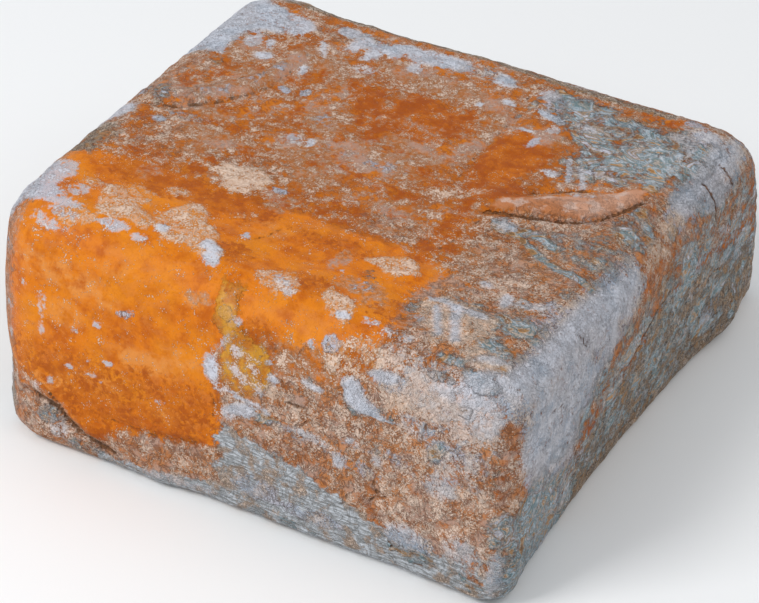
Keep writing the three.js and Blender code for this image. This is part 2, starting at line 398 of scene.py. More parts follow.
# Dense white to lilac mould
WHITE = {
    "top": (
        area(1.5, 1.0, (-90, 78), (-74, 68), (-67, 66), (-57, 64), (-54, 60), (-56, 54), (-66, 51),
             (-71, 49), (-73, 42), (-71, 31), (-90, 29), wrap=11),
        area(1.3, 0.95, (-39, 67), (-36, 64), (-33, 61), (-28, 67), (-16, 68), (-3, 68), (10, 67), (15, 62),
             (12, 60), (5, 61), (-8, 61), (-18, 58), (-22, 60), (-26, 57), (-29, 58), (-31, 50),
             (-34, 51), (-35, 59), (-38, 52), (-40, 57)),
        *dabs(
            (-44, 64, 4, 3.2, 0.95), (-40, 58, 1.4, 5, 0.7), (1, 64, 6, 5, -0.85),
            (-17, 55, 2.2, 3.4, 0.8, 30), (-30, 46, 4, 2.5, 0.5), (-67, 44, 3, 4, 0.8),
            (-62, 45, 1.3, 3.5, 0.8, 20), (-60, 37, 3, 2.6, 0.9), (-46, 50, 1.2, 6, 0.75, 28),
            (25, 62, 3.5, 3.5, 0.8), (31, 51.5, 5, 2, 0.95, -12), (43, 51, 3, 2, 0.7), (35, 45, 2, 3, 0.6),
            (33, 34, 1.3, 4.5, 0.8, -8), (28, 39.6, 2.8, 1, 0.9, 5), (16.5, 52, 2.4, 1.6, 0.9, -20),
            (9.6, 46.5, 1.2, 1.4, 0.9), (-45, 35, 1.3, 2.6, 0.8, 15), (-80, -13, 3.5, 6, 0.9),
        ),
        area(1.5, 0.95, (-90, -46), (-78, -48), (-73, -50), (-71, -56), (-73, -62), (-66, -66), (-60, -68),
             (-61, -70), (-70, -70), (-78, -68), (-90, -66), wrap=9),
        *dabs(
            (-66, -61, 3, 3, 0.6), (-22.5, -1.5, 1.2, 2.8, 0.95, 20), (-27, -2, 4, 3, 0.4),
            (-13.5, -56, 1.3, 2.2, 0.9, 15), (-18, -68, 4, 2.4, 0.9, -30), (-16, -72, 3, 2, 0.95),
            (-48, -71, 5, 2, 0.9, 5), (-39, -72.5, 3, 1.2, 0.8), (-65, -72, 6, 1.6, 0.6, -8),
            (-35, -66, 2.2, 2.2, 0.8), (6, -71, 4, 2, 0.35, -20), (10, -74, 2, 1.5, 0.5),
            (28, -75.5, 2.6, 1.2, 0.9), (36, -74.5, 3, 1.2, 0.7), (45, -76, 5, 1.5, 0.5),
            (18, -58, 1, 0.8, 0.9),
        ),
        stroke(2.6, 0.85, (84, -24), (83, -38), (83, -52), (83, -66), (80, -78), (70, -82), wrap=9),
        stroke(3, 0.75, (83, 30), (83, 45), (82, 62), wrap=9),
        *dabs(
            (76, 67, 4.5, 4, 0.7), (70, 61, 5, 3, 0.5), (74, 54, 2.5, 6, 0.55),
        ),
        stroke(1.1, 0.9, (46.5, 31), (49, 26), (51, 21)),
        stroke(1.0, 0.85, (51, 29), (54, 24), (56, 20)),
        *dabs(
            (44.5, 22, 2.6, 2.2, 0.85), (58, 10.5, 3.2, 3.2, 0.9), (61, 14, 2.4, 1.2, 0.8, 40),
        ),
        stroke(1.2, 0.8, (49, -60), (52, -66), (55, -71)),
        stroke(1.5, 0.85, (54, -57), (56, -63), (60, -71)),
        stroke(1.3, 0.75, (46, -57), (49, -56), (53, -58)),
        *dabs(
            (59, -57, 4, 1.6, 0.75), (63.5, -46, 1.8, 4, 0.8, 12), (55.5, -42, 2, 1.6, 0.6),
            (70, -45, 5, 2.5, 0.6, 15), (47, -67, 2, 1.4, 0.6), (73, -74, 5, 1.6, 0.7, 20),
            (46, -11, 4, 3, 0.6),
        ),
    ),
    "front": (
        *dabs(
            (-8, 47, 2.4, 4.5, 1.0, 8), (-6, 41.5, 2.4, 1.6, 0.6), (-3.5, 58, 1.1, 4, 0.8, -30),
            (0, 55.5, 2, 2, 0.8), (-1, 50, 3, 1.6, 0.75, -20), (2, 48, 3, 1.3, 0.75, -35),
            (6, 51.5, 2, 1.2, 0.6, -20), (11.8, 50, 2.2, 1.3, 0.95, -25), (10, 55, 1.6, 1, 0.8),
            (8, 46, 1.5, 2.5, 0.6), (-1, 64, 2, 1.4, 0.9),
        ),
        stroke(0.7, 0.9, (-3, 42), (2, 40.5), (8, 40), (11, 38.5)),
        *dabs(
            (3, 37, 4.5, 2.2, 0.9, 12), (-2, 34.5, 2.6, 2.2, 0.7), (22, 63.8, 1.5, 1.2, 0.8),
            (46, 62, 4.5, 1.6, 0.85, 4),
        ),
        area(0.8, 1.0, (33.5, 57), (36.5, 59.5), (39, 57.5), (41.5, 54), (46, 51.2), (50.5, 49.6),
             (44, 49.4), (39, 48.8), (36, 50.6), (34, 53)),
        *dabs(
            (24, 52, 3.8, 1.0, 0.75, -6), (34, 31.5, 1.8, 2, 0.9), (38, 39, 2.2, 1.6, 0.6, -25),
            (46, 36, 1.6, 1.6, 0.6), (25, 36, 6, 1.6, 0.5, -8),
        ),
        area(5, 0.34, (44, 70), (50, 60), (60, 54), (70, 50), (80, 50), (84, 70)),
        *dabs(
            (77, 61, 7, 6, 0.4), (58, 50, 7, 3, 0.4, -20), (71, 43, 6, 4, 0.35), (70, 64, 10, 2.5, 0.6),
            (66, 35, 5, 4, 0.5), (55, 14, 6, 4, 0.7), (74, 16, 6, 5, 0.5), (6, 12, 6, 3, 0.45),
            (28, 9, 8, 1.6, 0.4), (-20, 5, 16, 1.3, 0.5), (-59, 8, 3, 3.5, 0.55),
            (-65, 48, 1.6, 4, 0.5, 10), (-65, 41, 1.6, 2.4, 0.45), (-46, 47.7, 1.4, 1.1, 0.75),
            (-53.5, 43.8, 1.6, 1.0, 0.55), (-42, 37, 1.8, 0.8, 0.55), (-47.5, 36, 1.8, 0.7, 0.55, 25),
            (-55, 31.5, 1.8, 0.6, 0.6), (-47, 31, 4, 0.6, 0.5, -12), (-24, 30, 3, 0.5, 0.5, 8),
            (-72, 52.5, 1.2, 1.2, 0.5), (-70, 71, 10, 1.5, 0.6), (-66, 21.5, 1.3, 1, 0.5),
            (-61.5, 25, 1.2, 1.8, 0.6), (-80, 41, 3, 2.4, 0.55, 30), (-79, 32, 2.6, 3, 0.55, 20),
            (84, 12, 2, 8, 0.6),
        ),
    ),
    "right": (
        area(4, 0.78, (-90, 70), (-40, 68), (0, 64), (-10, 56), (-26, 48), (-44, 40), (-48, 30), (-62, 32),
             (-74, 34), (-82, 44), (-76, 60), wrap=6),
        *dabs(
            (-78, 48, 5, 6, 0.7), (-60, 30, 12, 4, 0.4), (-52, 14, 6, 6, 0.35),
        ),
        area(3, 0.65, (30, 66), (34, 60), (52, 56), (64, 57), (74, 62), (70, 66)),
        *dabs(
            (34, 43, 1.8, 3, 0.75, 10), (54, 44, 5, 1.6, 0.6, -30), (62, 44, 3, 2, 0.6),
            (58, 31, 6, 3, 0.4, -20), (46, 17, 4, 3, 0.55), (6, 13, 3, 2, 0.4), (0, 62, 5, 2.5, -0.8),
            (-20, 62, 14, 3, 0.7), (48, 58, 10, 3, 0.6, -10), (-36, 53, 5, 2, -0.6, -40),
            (-20, 54, 2.5, 4, -0.6, 25),
        ),
    ),
    "left": (
        area(3, 0.9, (96, 76), (54, 76), (40, 70), (42, 58), (60, 50), (74, 44), (96, 40), wrap=10),
        *dabs(
            (-60, 66, 6, 4, 0.7), (-12, 66, 8, 4, 0.9), (10, 12, 9, 4, 0.5), (-30, 14, 7, 5, 0.6),
            (30, 16, 8, 6, 0.7), (62, 14, 10, 6, 0.7), (20, 38, 5, 3, 0.6), (-75, 12, 7, 5, 0.6),
        ),
    ),
    "back": (
        area(4, 0.85, (-96, 76), (-66, 76), (-62, 62), (-70, 50), (-74, 34), (-96, 30)),
        *dabs(
            (-30, 66, 14, 2.5, 0.4), (30, 60, 12, 4, 0.6), (-50, 20, 14, 8, 0.7), (20, 16, 12, 6, 0.6),
            (70, 24, 8, 12, 0.7), (-8, 34, 5, 4, 0.6), (72, 62, 8, 6, 0.6),
        ),
    ),
}

# Cream and fawn crust in rough patches
CRUST = {
    "top": (
        area(1.2, 1.0, (-61, -55), (-56, -53), (-52, -56), (-45, -61), (-40, -63), (-38, -70), (-44, -68),
             (-50, -69), (-55, -69), (-58, -64)),
        area(1.2, 1.0, (-36, -53), (-32, -49.5), (-28, -52), (-26, -57), (-20, -60), (-17, -65), (-14, -67),
             (-14, -73), (-20, -72), (-24, -70), (-33, -70), (-39, -66), (-39, -59)),
        *dabs(
            (-50, -55, 6, 5, 0.6), (-64, -56, 4, 3, 0.6), (-60, -72, 7, 3, 0.75, 8),
        ),
        area(1.2, 0.95, (-33, -24), (-27, -21), (-23, -26), (-20, -27), (-21, -31), (-24, -36),
             (-28, -38.5), (-33, -37), (-34, -32), (-40, -30), (-39, -26)),
        dab(-41, -47, 3, 2.6, 0.85),
        area(0.8, 1.0, (20, -48), (26, -44.5), (31, -42), (35, -43.5), (36.5, -47), (38.5, -49), (34, -51),
             (32, -53.5), (28, -52), (25, -50), (21, -50)),
        area(1.0, 0.75, (-2, -70), (3, -67), (7, -65.5), (9.5, -67), (13, -72), (11, -76), (5, -76),
             (-1, -74)),
        area(1.0, 0.95, (19, -65), (22, -68), (27, -69), (31, -73), (30, -78), (25, -77), (20, -73)),
        area(2.5, 0.8, (43, -58), (50, -53), (58, -56), (66, -55), (69, -63), (66, -72), (56, -74),
             (47, -68)),
        *dabs(
            (72, -75, 10, 3.5, 0.8, -8), (40, -41, 5, 3, 0.4), (-19, -47, 4, 2, 0.4, 30),
            (-62, 55, 9, 8, 0.25),
        ),
    ),
    "front": (
        *dabs(
            (12, 46, 6, 2, 0.5, -15), (40, 66, 12, 3, 0.6), (34, 61, 7, 3, 0.6), (58, 60, 12, 6, 0.7),
            (74, 58, 8, 7, 0.6), (0, 38, 4, 2, 0.4),
        ),
    ),
    "right": (
        *dabs(
            # The first three dabs, a thin pale band along the rounded top edge of the right wall, are crust
            # and also a painted highlight on that rim.
            (-68, 60, 9, 3, 0.4), (14, 62, 16, 3, 0.5), (66, 60, 12, 3, 0.5), (40, 34, 8, 4, 0.4),
        ),
    ),
    "left": (
        *dabs(
            (-55, 52, 9, 7, 0.7), (-8, 24, 12, 5, 0.6), (36, 56, 9, 5, 0.6),
        ),
    ),
    "back": (
        *dabs(
            (-34, 50, 9, 6, 0.6), (16, 48, 10, 5, 0.6), (56, 20, 12, 5, 0.6), (-60, 64, 9, 4, 0.7),
        ),
    ),
    "foot": (dab(10, 10, 60, 50, 0.5), dab(-40, -30, 24, 18, 0.5)),
}

# Teal to slate mould
SLATE = {
    "top": (
        area(5, 0.62, (28, 68), (46, 66), (66, 66), (80, 58), (82, 34), (76, 32), (66, 26), (50, 20),
             (44, 28), (46, 38), (38, 46), (28, 56)),
        area(5, 0.36, (40, -9), (60, -6), (72, 2), (84, 12), (84, -28), (66, -20), (50, -12)),
        area(4, 0.32, (46, -54), (70, -46), (82, -52), (82, -78), (60, -80), (44, -68)),
        stroke(1.3, 0.95, (27, 67), (32, 64), (36, 60), (40, 56)),
        *dabs(
            (37, 62, 3.5, 4.5, 0.8), (44, 64, 3, 2.6, 0.75), (23.5, 56, 1.3, 5, 0.7), (22, 47, 1.2, 3, 0.4),
            (60, 37, 5, 3.5, 0.9, -20), (62, 46, 2.6, 8, 0.85, -10),
        ),
        stroke(1.4, 0.8, (49, 52), (53, 45), (57, 38)),
        *dabs(
            (47.5, 48, 4, 5, 0.7), (50, 40, 3, 4, 0.5), (56, 57, 6, 1.6, 0.5, -25), (62, 57, 4, 4, 0.7),
            (68, 47, 6, 9, 0.9), (73, 44, 3.5, 10, 0.8), (74, 30, 2.6, 6, 0.8), (52, 34, 3, 1.5, 0.7),
            (55, 26, 4, 2, 0.5, -30), (63, 27, 4, 2.5, 0.5, -20), (75, 12, 2.6, 8, 0.5, -20),
            (46, -12.5, 5, 2.6, 0.85, -8), (55, -11, 4, 2.2, 0.8),
        ),
        stroke(1.4, 0.9, (49, -13), (56, -17), (62, -21), (70, -24), (80, -26)),
        *dabs(
            (62, -14, 5, 1.6, 0.6, -20), (75, 4, 2.5, 3, 0.7), (73, -7, 2.5, 2, 0.7), (77, -15, 2, 4, 0.7),
            (76, -34, 2.6, 3, 0.6), (68, -45, 3, 3, 0.6), (73, -57, 4.5, 4.5, 0.9),
            (66.5, -57, 1.3, 4, 0.85), (71, -69, 5.5, 3, 1.0, -10), (74, -75, 5, 2.4, 1.0),
            (62, -78, 5, 1.4, 0.6), (43, -62, 2, 4, 0.4), (-75, 0, 4, 5, 0.5), (-68, 26, 3, 3, 0.4),
            (26, -55, 2.5, 3, 0.35), (80, 53, 4, 12, 0.7), (80, 8, 4, 9, 0.6),
        ),
    ),
    "front": (
        *dabs(
            (64, 45, 2.4, 3.6, 0.85, -25), (71, 60, 2.2, 1.8, 0.7), (73, 67.5, 8, 2.2, 0.95, -8),
            (62, 66, 5, 1.2, 0.6), (9.5, 36.3, 3, 1.8, 0.8), (12, 37.6, 2, 1, 0.6),
            (38, 48.4, 4, 0.8, 0.6, -22), (48, 51.6, 3, 0.8, 0.6, -22), (57, 9, 8, 3, 0.6),
            (75, 8, 6, 4, 0.4), (-62, 12, 4.5, 3, 0.5), (-50, 4.5, 6, 2.4, 0.45), (18, 4, 16, 2, 0.35),
            (83, 25, 2, 5, 0.4), (46, 40, 3, 2, 0.35), (24, 54, 2, 1, 0.4),
        ),
    ),
    "right": (
        area(3, 0.8, (-90, 30), (-70, 38), (-60, 28), (-44, 24), (-40, 8), (-52, -3), (-90, -3)),
        area(5, 0.52, (-50, 40), (-30, 50), (0, 52), (20, 56), (40, 62), (66, 58), (84, 52), (84, 14),
             (60, 6), (0, 4), (-40, 8)),
        *dabs(
            (-70, 22, 11, 6, 0.95, -12), (-69, 14, 7, 4, 0.8), (-58, 34, 8, 2.5, 0.6, -20),
            (-46, 38, 7, 3, 0.5, -20), (-12, 41, 8, 3, 0.95, 20), (-3, 44, 4, 2.6, 0.9),
            (-22, 33, 7, 3, 0.6, 25), (-32, 44, 6, 2, 0.6, -35), (28, 48, 5.5, 5.5, 0.95),
            (24, 40, 8, 2.5, 0.85, 15), (39, 48, 3, 4, 0.6), (20, 61.5, 3, 2, 0.8), (40, 60, 6, 2, 0.6),
            (58, 33, 4, 2.5, 0.8), (54, 24, 6, 2.4, 0.9), (45, 14, 6, 4, 0.9, -15), (18, 9.5, 5, 2.6, 0.9),
            (8, 24, 9, 4, 0.5), (36, 24, 8, 4, 0.5), (62, 43, 3, 2.5, 0.8), (70, 32, 6, 4, 0.6),
            (-20, 18, 4, 3, 0.5),
        ),
    ),
    "left": (
        *dabs(
            (-30, 28, 8, 3, 0.7), (28, 40, 6, 2.5, 0.7), (60, 36, 8, 5, 0.8), (-10, 56, 4, 3, 0.6),
            (0, 8, 14, 2.5, 0.6), (70, 62, 6, 4, 0.6),
        ),
    ),
    "back": (
        *dabs(
            (-56, 34, 9, 4, 0.8), (-20, 24, 8, 4, 0.7), (32, 46, 7, 4, 0.7), (8, 8, 16, 3, 0.7),
            (66, 44, 8, 6, 0.7), (54, 66, 9, 2.5, 0.5),
        ),
    ),
}

# Blue-grey, fibrous mould low on the walls
GREY = {
    "front": (
        area(2.6, 1.0, (-3, 30), (2, 28.5), (12, 27), (22, 24.5), (30, 21.5), (37, 19), (45, 16), (54, 15),
             (60, 12), (66, 11), (71, 14), (76, 20), (82, 19), (96, 12), (96, -4), (-12, -4), (-10, 6),
             (-4, 10), (-7, 15), (-3, 20), (-6, 25), wrap=10),
        area(1.5, 0.85, (-46, 4.5), (-20, 6.5), (-4, 9), (-4, -4), (-46, -4)),
        dab(79, 13, 6, 6, -0.6),
    ),
    "right": (area(3, 0.6, (-96, 14), (-76, 12), (-50, 8), (-44, -4), (-96, -4)),),
    "left": (area(4, 0.8, (-96, 8), (-40, 12), (10, 8), (50, 14), (96, 10), (96, -4), (-96, -4)),),
    "back": (area(4, 0.9, (-96, 12), (-50, 16), (0, 10), (40, 15), (96, 12), (96, -4), (-96, -4)),),
    "foot": (dab(0, -60, 90, 22, 0.7), dab(50, 30, 30, 50, 0.6), dab(-60, 20, 24, 50, 0.6)),
}

# Dark, earthy brown
EARTH = {
    "top": (
        area(4, 0.75, (-90, -20), (-76, -22), (-72, -30), (-74, -42), (-90, -44)),
        stroke(3, 0.7, (-70, 74), (-40, 74), (0, 75), (25, 73), (60, 72)),
        *dabs(
            (-72, -6, 3, 3, 0.35), (81, 25, 3, 9, 0.35),
        ),
    ),
    "front": (
        *dabs(
            (-34, 2.5, 20, 1.5, 0.5), (82, 44, 1.2, 8, 0.4, -6),
        ),
    ),
    "right": (
        area(5, 1.0, (-46, 8), (-44, 20), (-34, 27), (-20, 30), (-6, 36), (6, 43), (30, 42), (44, 40),
             (60, 36), (72, 30), (80, 26), (96, 22), (96, -4), (-46, -4)),
        *dabs(
            (10, 52, 10, 3, 0.3), (-12, 48, 8, 2, 0.5), (82, 40, 4, 10, 0.6), (-78, 4, 9, 3, 0.4),
            (-30, 40, 4, 2, 0.5, 30),
        ),
    ),
    "left": (
        area(4, 0.8, (-96, 16), (-60, 24), (-20, 18), (20, 22), (60, 16), (96, 20), (96, -4), (-96, -4)),
        dab(-30, 50, 8, 5, 0.4),
    ),
    "back": (
        area(4, 0.8, (-96, 22), (-50, 26), (-10, 20), (30, 28), (96, 22), (96, -4), (-96, -4)),
        stroke(3, 0.6, (-60, 70), (60, 70)),
    ),
}

# The smooth pink roll of paste along the fold
PASTE = {
    "top": (
        area(2.2, 1.0, (39, -5), (46, -2.6), (56, 0.8), (62, 3.4), (67, 8), (71, 14), (74, 21), (74, 26),
             (70, 24), (65, 18.5), (59, 13.5), (52, 9.6), (45, 4), (40, -1)),
    ),
}

# Sticky, darker paste that has run down the middle of the front
OOZE = {
    "front": (
        area(2.2, 1.0, (-9, 71), (-3, 71), (-1, 64), (4, 60), (10, 57), (11.5, 50), (9, 45), (5, 42.5),
             (-2, 42), (-5, 45), (-5, 52), (-4, 58), (-8, 62)),
    ),
}

# Fresh peach-coloured patches in the wet paste
PEACH = {
    "top": (dab(4, 27, 5, 3, 0.5), dab(30, 22, 5, 5, 0.4), dab(-10, -50, 8, 4, 0.4)),
    "front": (
        *dabs(
            (-60, 60, 14, 4, 0.8), (-48, 56, 10, 3, 0.7), (-30, 41, 12, 4, 0.8), (-20, 46, 8, 3, 0.7),
            (-15, 65, 4, 2, 0.8), (-58, 48, 7, 4, 0.6), (-62, 24, 6, 4, 0.8), (-46, 30, 10, 2.5, 0.6),
            (-75, 62, 7, 4, 0.5), (-20, 26, 7, 2.5, 0.5), (-42, 66, 8, 2, 0.5), (30, 55, 4, 2.5, 0.4),
        ),
    ),
}

# Creases and cracks, sunk into the surface and darkened with painted shade
CREASES_WITH_PAINTED_SHADE = {
    "top": (
        stroke(0.45, 0.9, (38, -7.4), (41, -6), (48, -4), (56, -1.2), (60, 0.4), (64, 3), (68, 7), (71, 12),
               (73.4, 17), (75, 21)),
        stroke(0.58, 0.75, (45, 9.5), (50, 13.4), (55, 17), (58, 18.6)),
        stroke(0.58, 0.6, (62, 31), (65, 32.4), (68, 33)),
        stroke(0.5, 0.5, (46, 8), (42, 5), (38, 3)),
        stroke(0.7, 0.5, (-47.5, 32), (-49, 22), (-52.5, 12.5), (-58, 4.5), (-66, -4.5), (-76, -7)),
        stroke(0.6, 0.25, (-53, 38), (-55, 27), (-60, 15), (-69, 4)),
        stroke(0.58, 0.3, (20, 60), (21.5, 48), (22, 34), (21.6, 20), (22.6, 6)),
        stroke(0.36, 0.5, (56, -22), (63, -25), (72, -27)),
        stroke(0.36, 0.45, (39, -12), (37, -24), (36, -33)),
        stroke(0.36, 0.4, (-12, -58), (-8, -53), (-7, -48)),
        stroke(0.36, 0.5, (46, 35), (50, 30), (53, 24)),
        stroke(0.36, 0.5, (48, 36), (55, 30), (58, 24)),
        dab(74, -68, 4, 1.2, 0.4, 15),
    ),
    "front": (
        stroke(0.65, 1.0, (-68, 17.4), (-64, 16.8), (-60, 15.6), (-56, 12), (-51, 8.6), (-45, 6.6),
               (-40, 6.2)),
        stroke(0.5, 0.9, (-61.5, 20), (-57, 15)),
        stroke(0.5, 0.5, (-41, 17.6), (-34, 17.4), (-27, 17.6), (-20, 18.8), (-12, 20)),
        stroke(0.36, 0.7, (45, 30), (46, 26), (45.4, 23), (43.6, 21)),
        stroke(0.36, 0.7, (46, 26), (49, 25)),
        stroke(0.36, 0.5, (34, 24), (37, 21), (36, 18)),
        stroke(0.5, 0.35, (-8, 43), (-7, 34), (-6, 26)),
        stroke(0.36, 0.5, (57, 57), (60, 52), (59, 47)),
        stroke(0.36, 0.55, (12, 46), (18, 44), (24, 44.6)),
        stroke(0.36, 0.5, (48, 12), (52, 8.6), (60, 6), (66, 7)),
        stroke(0.32, 0.5, (20, 38), (24, 41), (30, 41.4)),
    ),
    "right": (
        stroke(0.43, 0.8, (-43, 64), (-42, 60)),
        stroke(0.5, 0.9, (46, 63), (47, 57), (46.4, 52)),
        stroke(0.5, 0.8, (59, 63), (59.4, 57)),
        stroke(0.5, 0.7, (-48, 30), (-44, 22), (-45, 12)),
        stroke(0.5, 0.7, (-18, 34), (-8, 37), (4, 43), (14, 45)),
        stroke(0.43, 0.6, (30, 36), (40, 33), (50, 32), (58, 28)),
        stroke(0.5, 0.7, (-30, 8), (-20, 10), (-10, 7), (4, 6)),
        stroke(0.43, 0.6, (36, 8), (48, 9), (60, 14), (72, 12)),
        stroke(0.36, 0.6, (-66, 52), (-58, 50), (-52, 44)),
        stroke(0.36, 0.5, (-30, 62), (-28, 54), (-32, 46)),
    ),
    "left": (
        stroke(0.5, 0.7, (-60, 22), (-40, 18), (-24, 22), (-10, 18)),
        stroke(0.43, 0.6, (16, 26), (28, 24), (40, 28)),
        stroke(0.43, 0.6, (50, 58), (54, 50), (52, 42)),
    ),
    "back": (
        stroke(0.5, 0.7, (-50, 24), (-34, 28), (-16, 24)),
        stroke(0.43, 0.6, (10, 30), (24, 34), (40, 30)),
        stroke(0.43, 0.6, (-66, 60), (-60, 52), (-62, 44)),
    ),
}

# Dry, brown-red rind that is thick with pale beads
SCURF = {
    "top": (
        area(5, 0.75, (46, 2), (84, 30), (92, 30), (92, -92), (44, -92), (40, -60), (44, -40), (40, -14)),
        area(4, 0.36, (-90, 34), (-70, 30), (-58, 2), (-50, -30), (-60, -38), (-90, -34)),
        *dabs(
            (-30, -22, 16, 6, 0.35), (20, -30, 16, 6, 0.4), (60, 55, 16, 12, 0.4), (20, 66, 30, 4, 0.35),
            (-45, 62, 12, 6, 0.5),
        ),
    ),
    "front": (
        area(2.5, 1.0, (-4, 42), (8, 44), (14, 52), (30, 54), (44, 62), (60, 66), (96, 72), (96, -4),
             (-96, -4), (-96, 22), (-66, 20), (-54, 13), (-46, 9), (-36, 15), (-20, 18), (-8, 20),
             (-4, 24), wrap=10),
        dab(24, 60, 14, 4, 0.4),
    ),
    "right": (area(4, 0.7, (-96, 76), (96, 76), (96, 36), (40, 44), (0, 46), (-46, 26), (-96, -4), wrap=9),),
    "left": (area(4, 0.7, (-96, 76), (60, 76), (96, -4), (-96, -4), wrap=9),),
    "back": (area(4, 0.7, (-96, 76), (96, 76), (96, -4), (-96, -4), wrap=9),),
    "foot": (area(5, 0.7, (-96, -96), (96, -96), (96, 96), (-96, 96)),),
}

# Smooth, lilac-grey film
LILAC = {
    "top": (
        area(3, 0.7, (-92, 80), (-76, 68), (-60, 62), (-58, 54), (-72, 44), (-74, 30), (-92, 28), wrap=11),
        area(2, 0.6, (-40, 66), (-28, 66), (12, 66), (16, 62), (0, 61), (-30, 60), (-40, 60)),
        stroke(3.5, 0.9, (84, -18), (83, -38), (83, -52), (83, -66), (80, -80), wrap=9),
        stroke(4, 0.85, (84, 24), (83, 45), (80, 62), (70, 70), wrap=9),
        *dabs(
            (72, 58, 6, 6, 0.6), (76, -47, 4, 8, 0.6), (66, 4, 5, 2, 0.4, 40), (31, 51.5, 5, 2, 0.9, -12),
            (54, 32, 3, 5, 0.5, -30), (50, 44, 4, 2, 0.6, -60), (66, 38, 6, 2, 0.6, -50),
            (40, 66, 10, 2, 0.5), (-78, 42, 6, 8, 0.4),
        ),
        stroke(2.6, 0.35, (-49, 42), (-51, 29), (-56, 15), (-67, 2), (-80, -1)),
        *dabs(
            (-5, -1, 14, 4, 0.3), (-26, 12, 6, 3, 0.5, -40), (-60, -8, 8, 2.5, 0.45, 10),
            (26, -61, 5, 3, 0.4), (-44.5, 22.5, 3, 1.6, 0.9, -20), (-38, 23.5, 1.6, 2.4, 0.9),
            (-67, -13.5, 2.6, 1.8, 0.8), (-17, -30, 3, 2, 0.85), (30, 60, 7, 6, 0.8), (44, 58, 6, 3, 0.7),
            (58, 60, 8, 3, 0.75),
        ),
    ),
    "front": (
        area(1.0, 1.0, (33, 58), (36.5, 60), (40, 57.5), (42, 54), (46, 51.4), (51.5, 49.4), (44, 49),
             (38, 48.4), (35, 50.6), (34, 53)),
        *dabs(
            (24, 52, 4.5, 1.3, 0.8, -8), (48, 61, 7, 3, 0.7),
        ),
        area(4, 0.36, (50, 70), (54, 58), (60, 46), (70, 38), (80, 34), (84, 48), (84, 68)),
        *dabs(
            (68, 60, 8, 4, 0.5), (70, 46, 7, 3, 0.4), (57, 13, 8, 4, 0.8), (8, 13, 8, 5, 0.7),
            (26, 10, 10, 3, 0.6), (3, 37, 5, 2.4, 0.9, 12), (66, 36, 6, 4, 0.6), (22, 35, 8, 2, 0.5, -8),
            (-62, 12, 6, 3, 0.5), (64, 44.5, 3.4, 4.4, 0.8, -25), (28, 65.3, 3, 2.2, 1.0, 8),
            (-37, 54, 3.4, 1.4, 0.75, 12), (-5, 65, 3, 1.4, 0.7), (40, 32, 9, 3, 0.5, -14),
            (52, 38, 8, 2.4, 0.5, -16), (38, 38, 8, 2, 0.4, -12),
        ),
    ),
    "right": (
        area(4, 0.95, (-92, 72), (-40, 70), (0, 66), (-6, 56), (-24, 48), (-40, 36), (-48, 24), (-54, 8),
             (-66, -4), (-84, -4), (-80, 30), (-80, 60), wrap=9),
        dab(-88, 14, 3, 10, 0.6),
        area(3, 0.7, (-84, 30), (-62, 34), (-48, 28), (-46, 14), (-56, 5), (-82, 6)),
        dab(-35, 40, 5, 3, 0.6, -20),
        area(3, 0.8, (28, 68), (32, 58), (52, 54), (64, 55), (84, 64), (80, 70)),
        *dabs(
            (36, 46, 6, 6, 0.6), (58, 43, 8, 3, 0.6, -20), (14, 47, 10, 3, 0.4), (48, 18, 8, 5, 0.6),
            (62, 31, 7, 4, 0.5, -20), (8, 12, 8, 4, 0.4), (78, 56, 5, 6, 0.5),
        ),
    ),
    "left": (
        area(4, 0.8, (96, 76), (54, 76), (40, 66), (44, 56), (60, 46), (96, 36), wrap=10),
        *dabs(
            (-12, 60, 12, 6, 0.7), (-64, 58, 9, 6, 0.5), (20, 34, 12, 5, 0.6), (-34, 30, 12, 4, 0.6),
        ),
    ),
    "back": (
        area(4, 0.8, (-96, 76), (-62, 76), (-60, 60), (-66, 46), (-74, 30), (-96, 26)),
        *dabs(
            (-30, 60, 16, 5, 0.6), (28, 58, 14, 6, 0.7), (66, 40, 12, 12, 0.7), (-10, 30, 12, 5, 0.6),
        ),
    ),
    "foot": (dab(30, -40, 40, 24, 0.5),),
}

KINDS = {
    "scurf": SCURF,
    "lilac": LILAC,
    "wet": WET,
    "rust": RUST,
    "bloom": BLOOM,
    "white": WHITE,
    "crust": CRUST,
    "slate": SLATE,
    "grey": GREY,
    "earth": EARTH,
    "paste": PASTE,
    "ooze": OOZE,
    "peach": PEACH,
    "crease": CREASES_WITH_PAINTED_SHADE,
}

# The share of the bloom and of the scurf that full rust takes away
THINNED_BY_RUST = {"bloom": 0.5, "scurf": 0.3}
WET_SMOOTHNESS = 0.85  # the share of the small lumps that is lost where the paste is wet

# What the marks do to the surface, in millimetres of rise
RELIEF = {"white": 0.06, "crust": 0.35, "grey": 0.3, "ooze": 0.45, "earth": -0.25, "crease": -0.55}

# Folds that run across the top: the line, the half width and the rise, which is negative in
# a crease, in millimetres
FOLDS = (
    (((38, -1), (48, 1.6), (59.5, 7.6), (68, 15.5), (74, 26)), 6.5, 1.7),
    (((-49, 43), (-51.5, 29), (-57, 15), (-67, 3), (-80, 0)), 4.6, 1.3),
    (((-47, 30), (-51.5, 12.5), (-58, 3), (-67, -5), (-78, -7)), 2.2, -0.7),
    (((37, -8), (48, -4), (60, 0.4), (68, 7), (73, 16), (75, 21)), 1.3, -1.1),
    (((45, 9.5), (50, 13.4), (55, 17), (59, 18.8)), 1.5, -0.9),
    (((20, 62), (21.5, 48), (22, 34), (21.6, 20), (22.6, 6)), 2.4, -0.5),
    (((25, 60), (26.5, 46), (26, 30), (27, 14)), 3.0, 0.35),
    (((-38, 44), (-32, 28), (-24, 14), (-11, 5), (3, 3), (15, 6)), 3.5, 0.5),
    (((26, -46), (30, -43.5), (34, -45), (36, -48), (31, -51)), 3.0, 0.6),
    (((-58, -58), (-50, -62), (-42, -66)), 4.0, 0.6),
    (((-34, -53), (-28, -60), (-18, -68)), 4.5, 0.7),
)
FOLD_FADE = 8  # how quickly a fold dies out below the top: a power of the height
FRONT_FADE = 8  # how far behind the front wall its folds die out, in millimetres
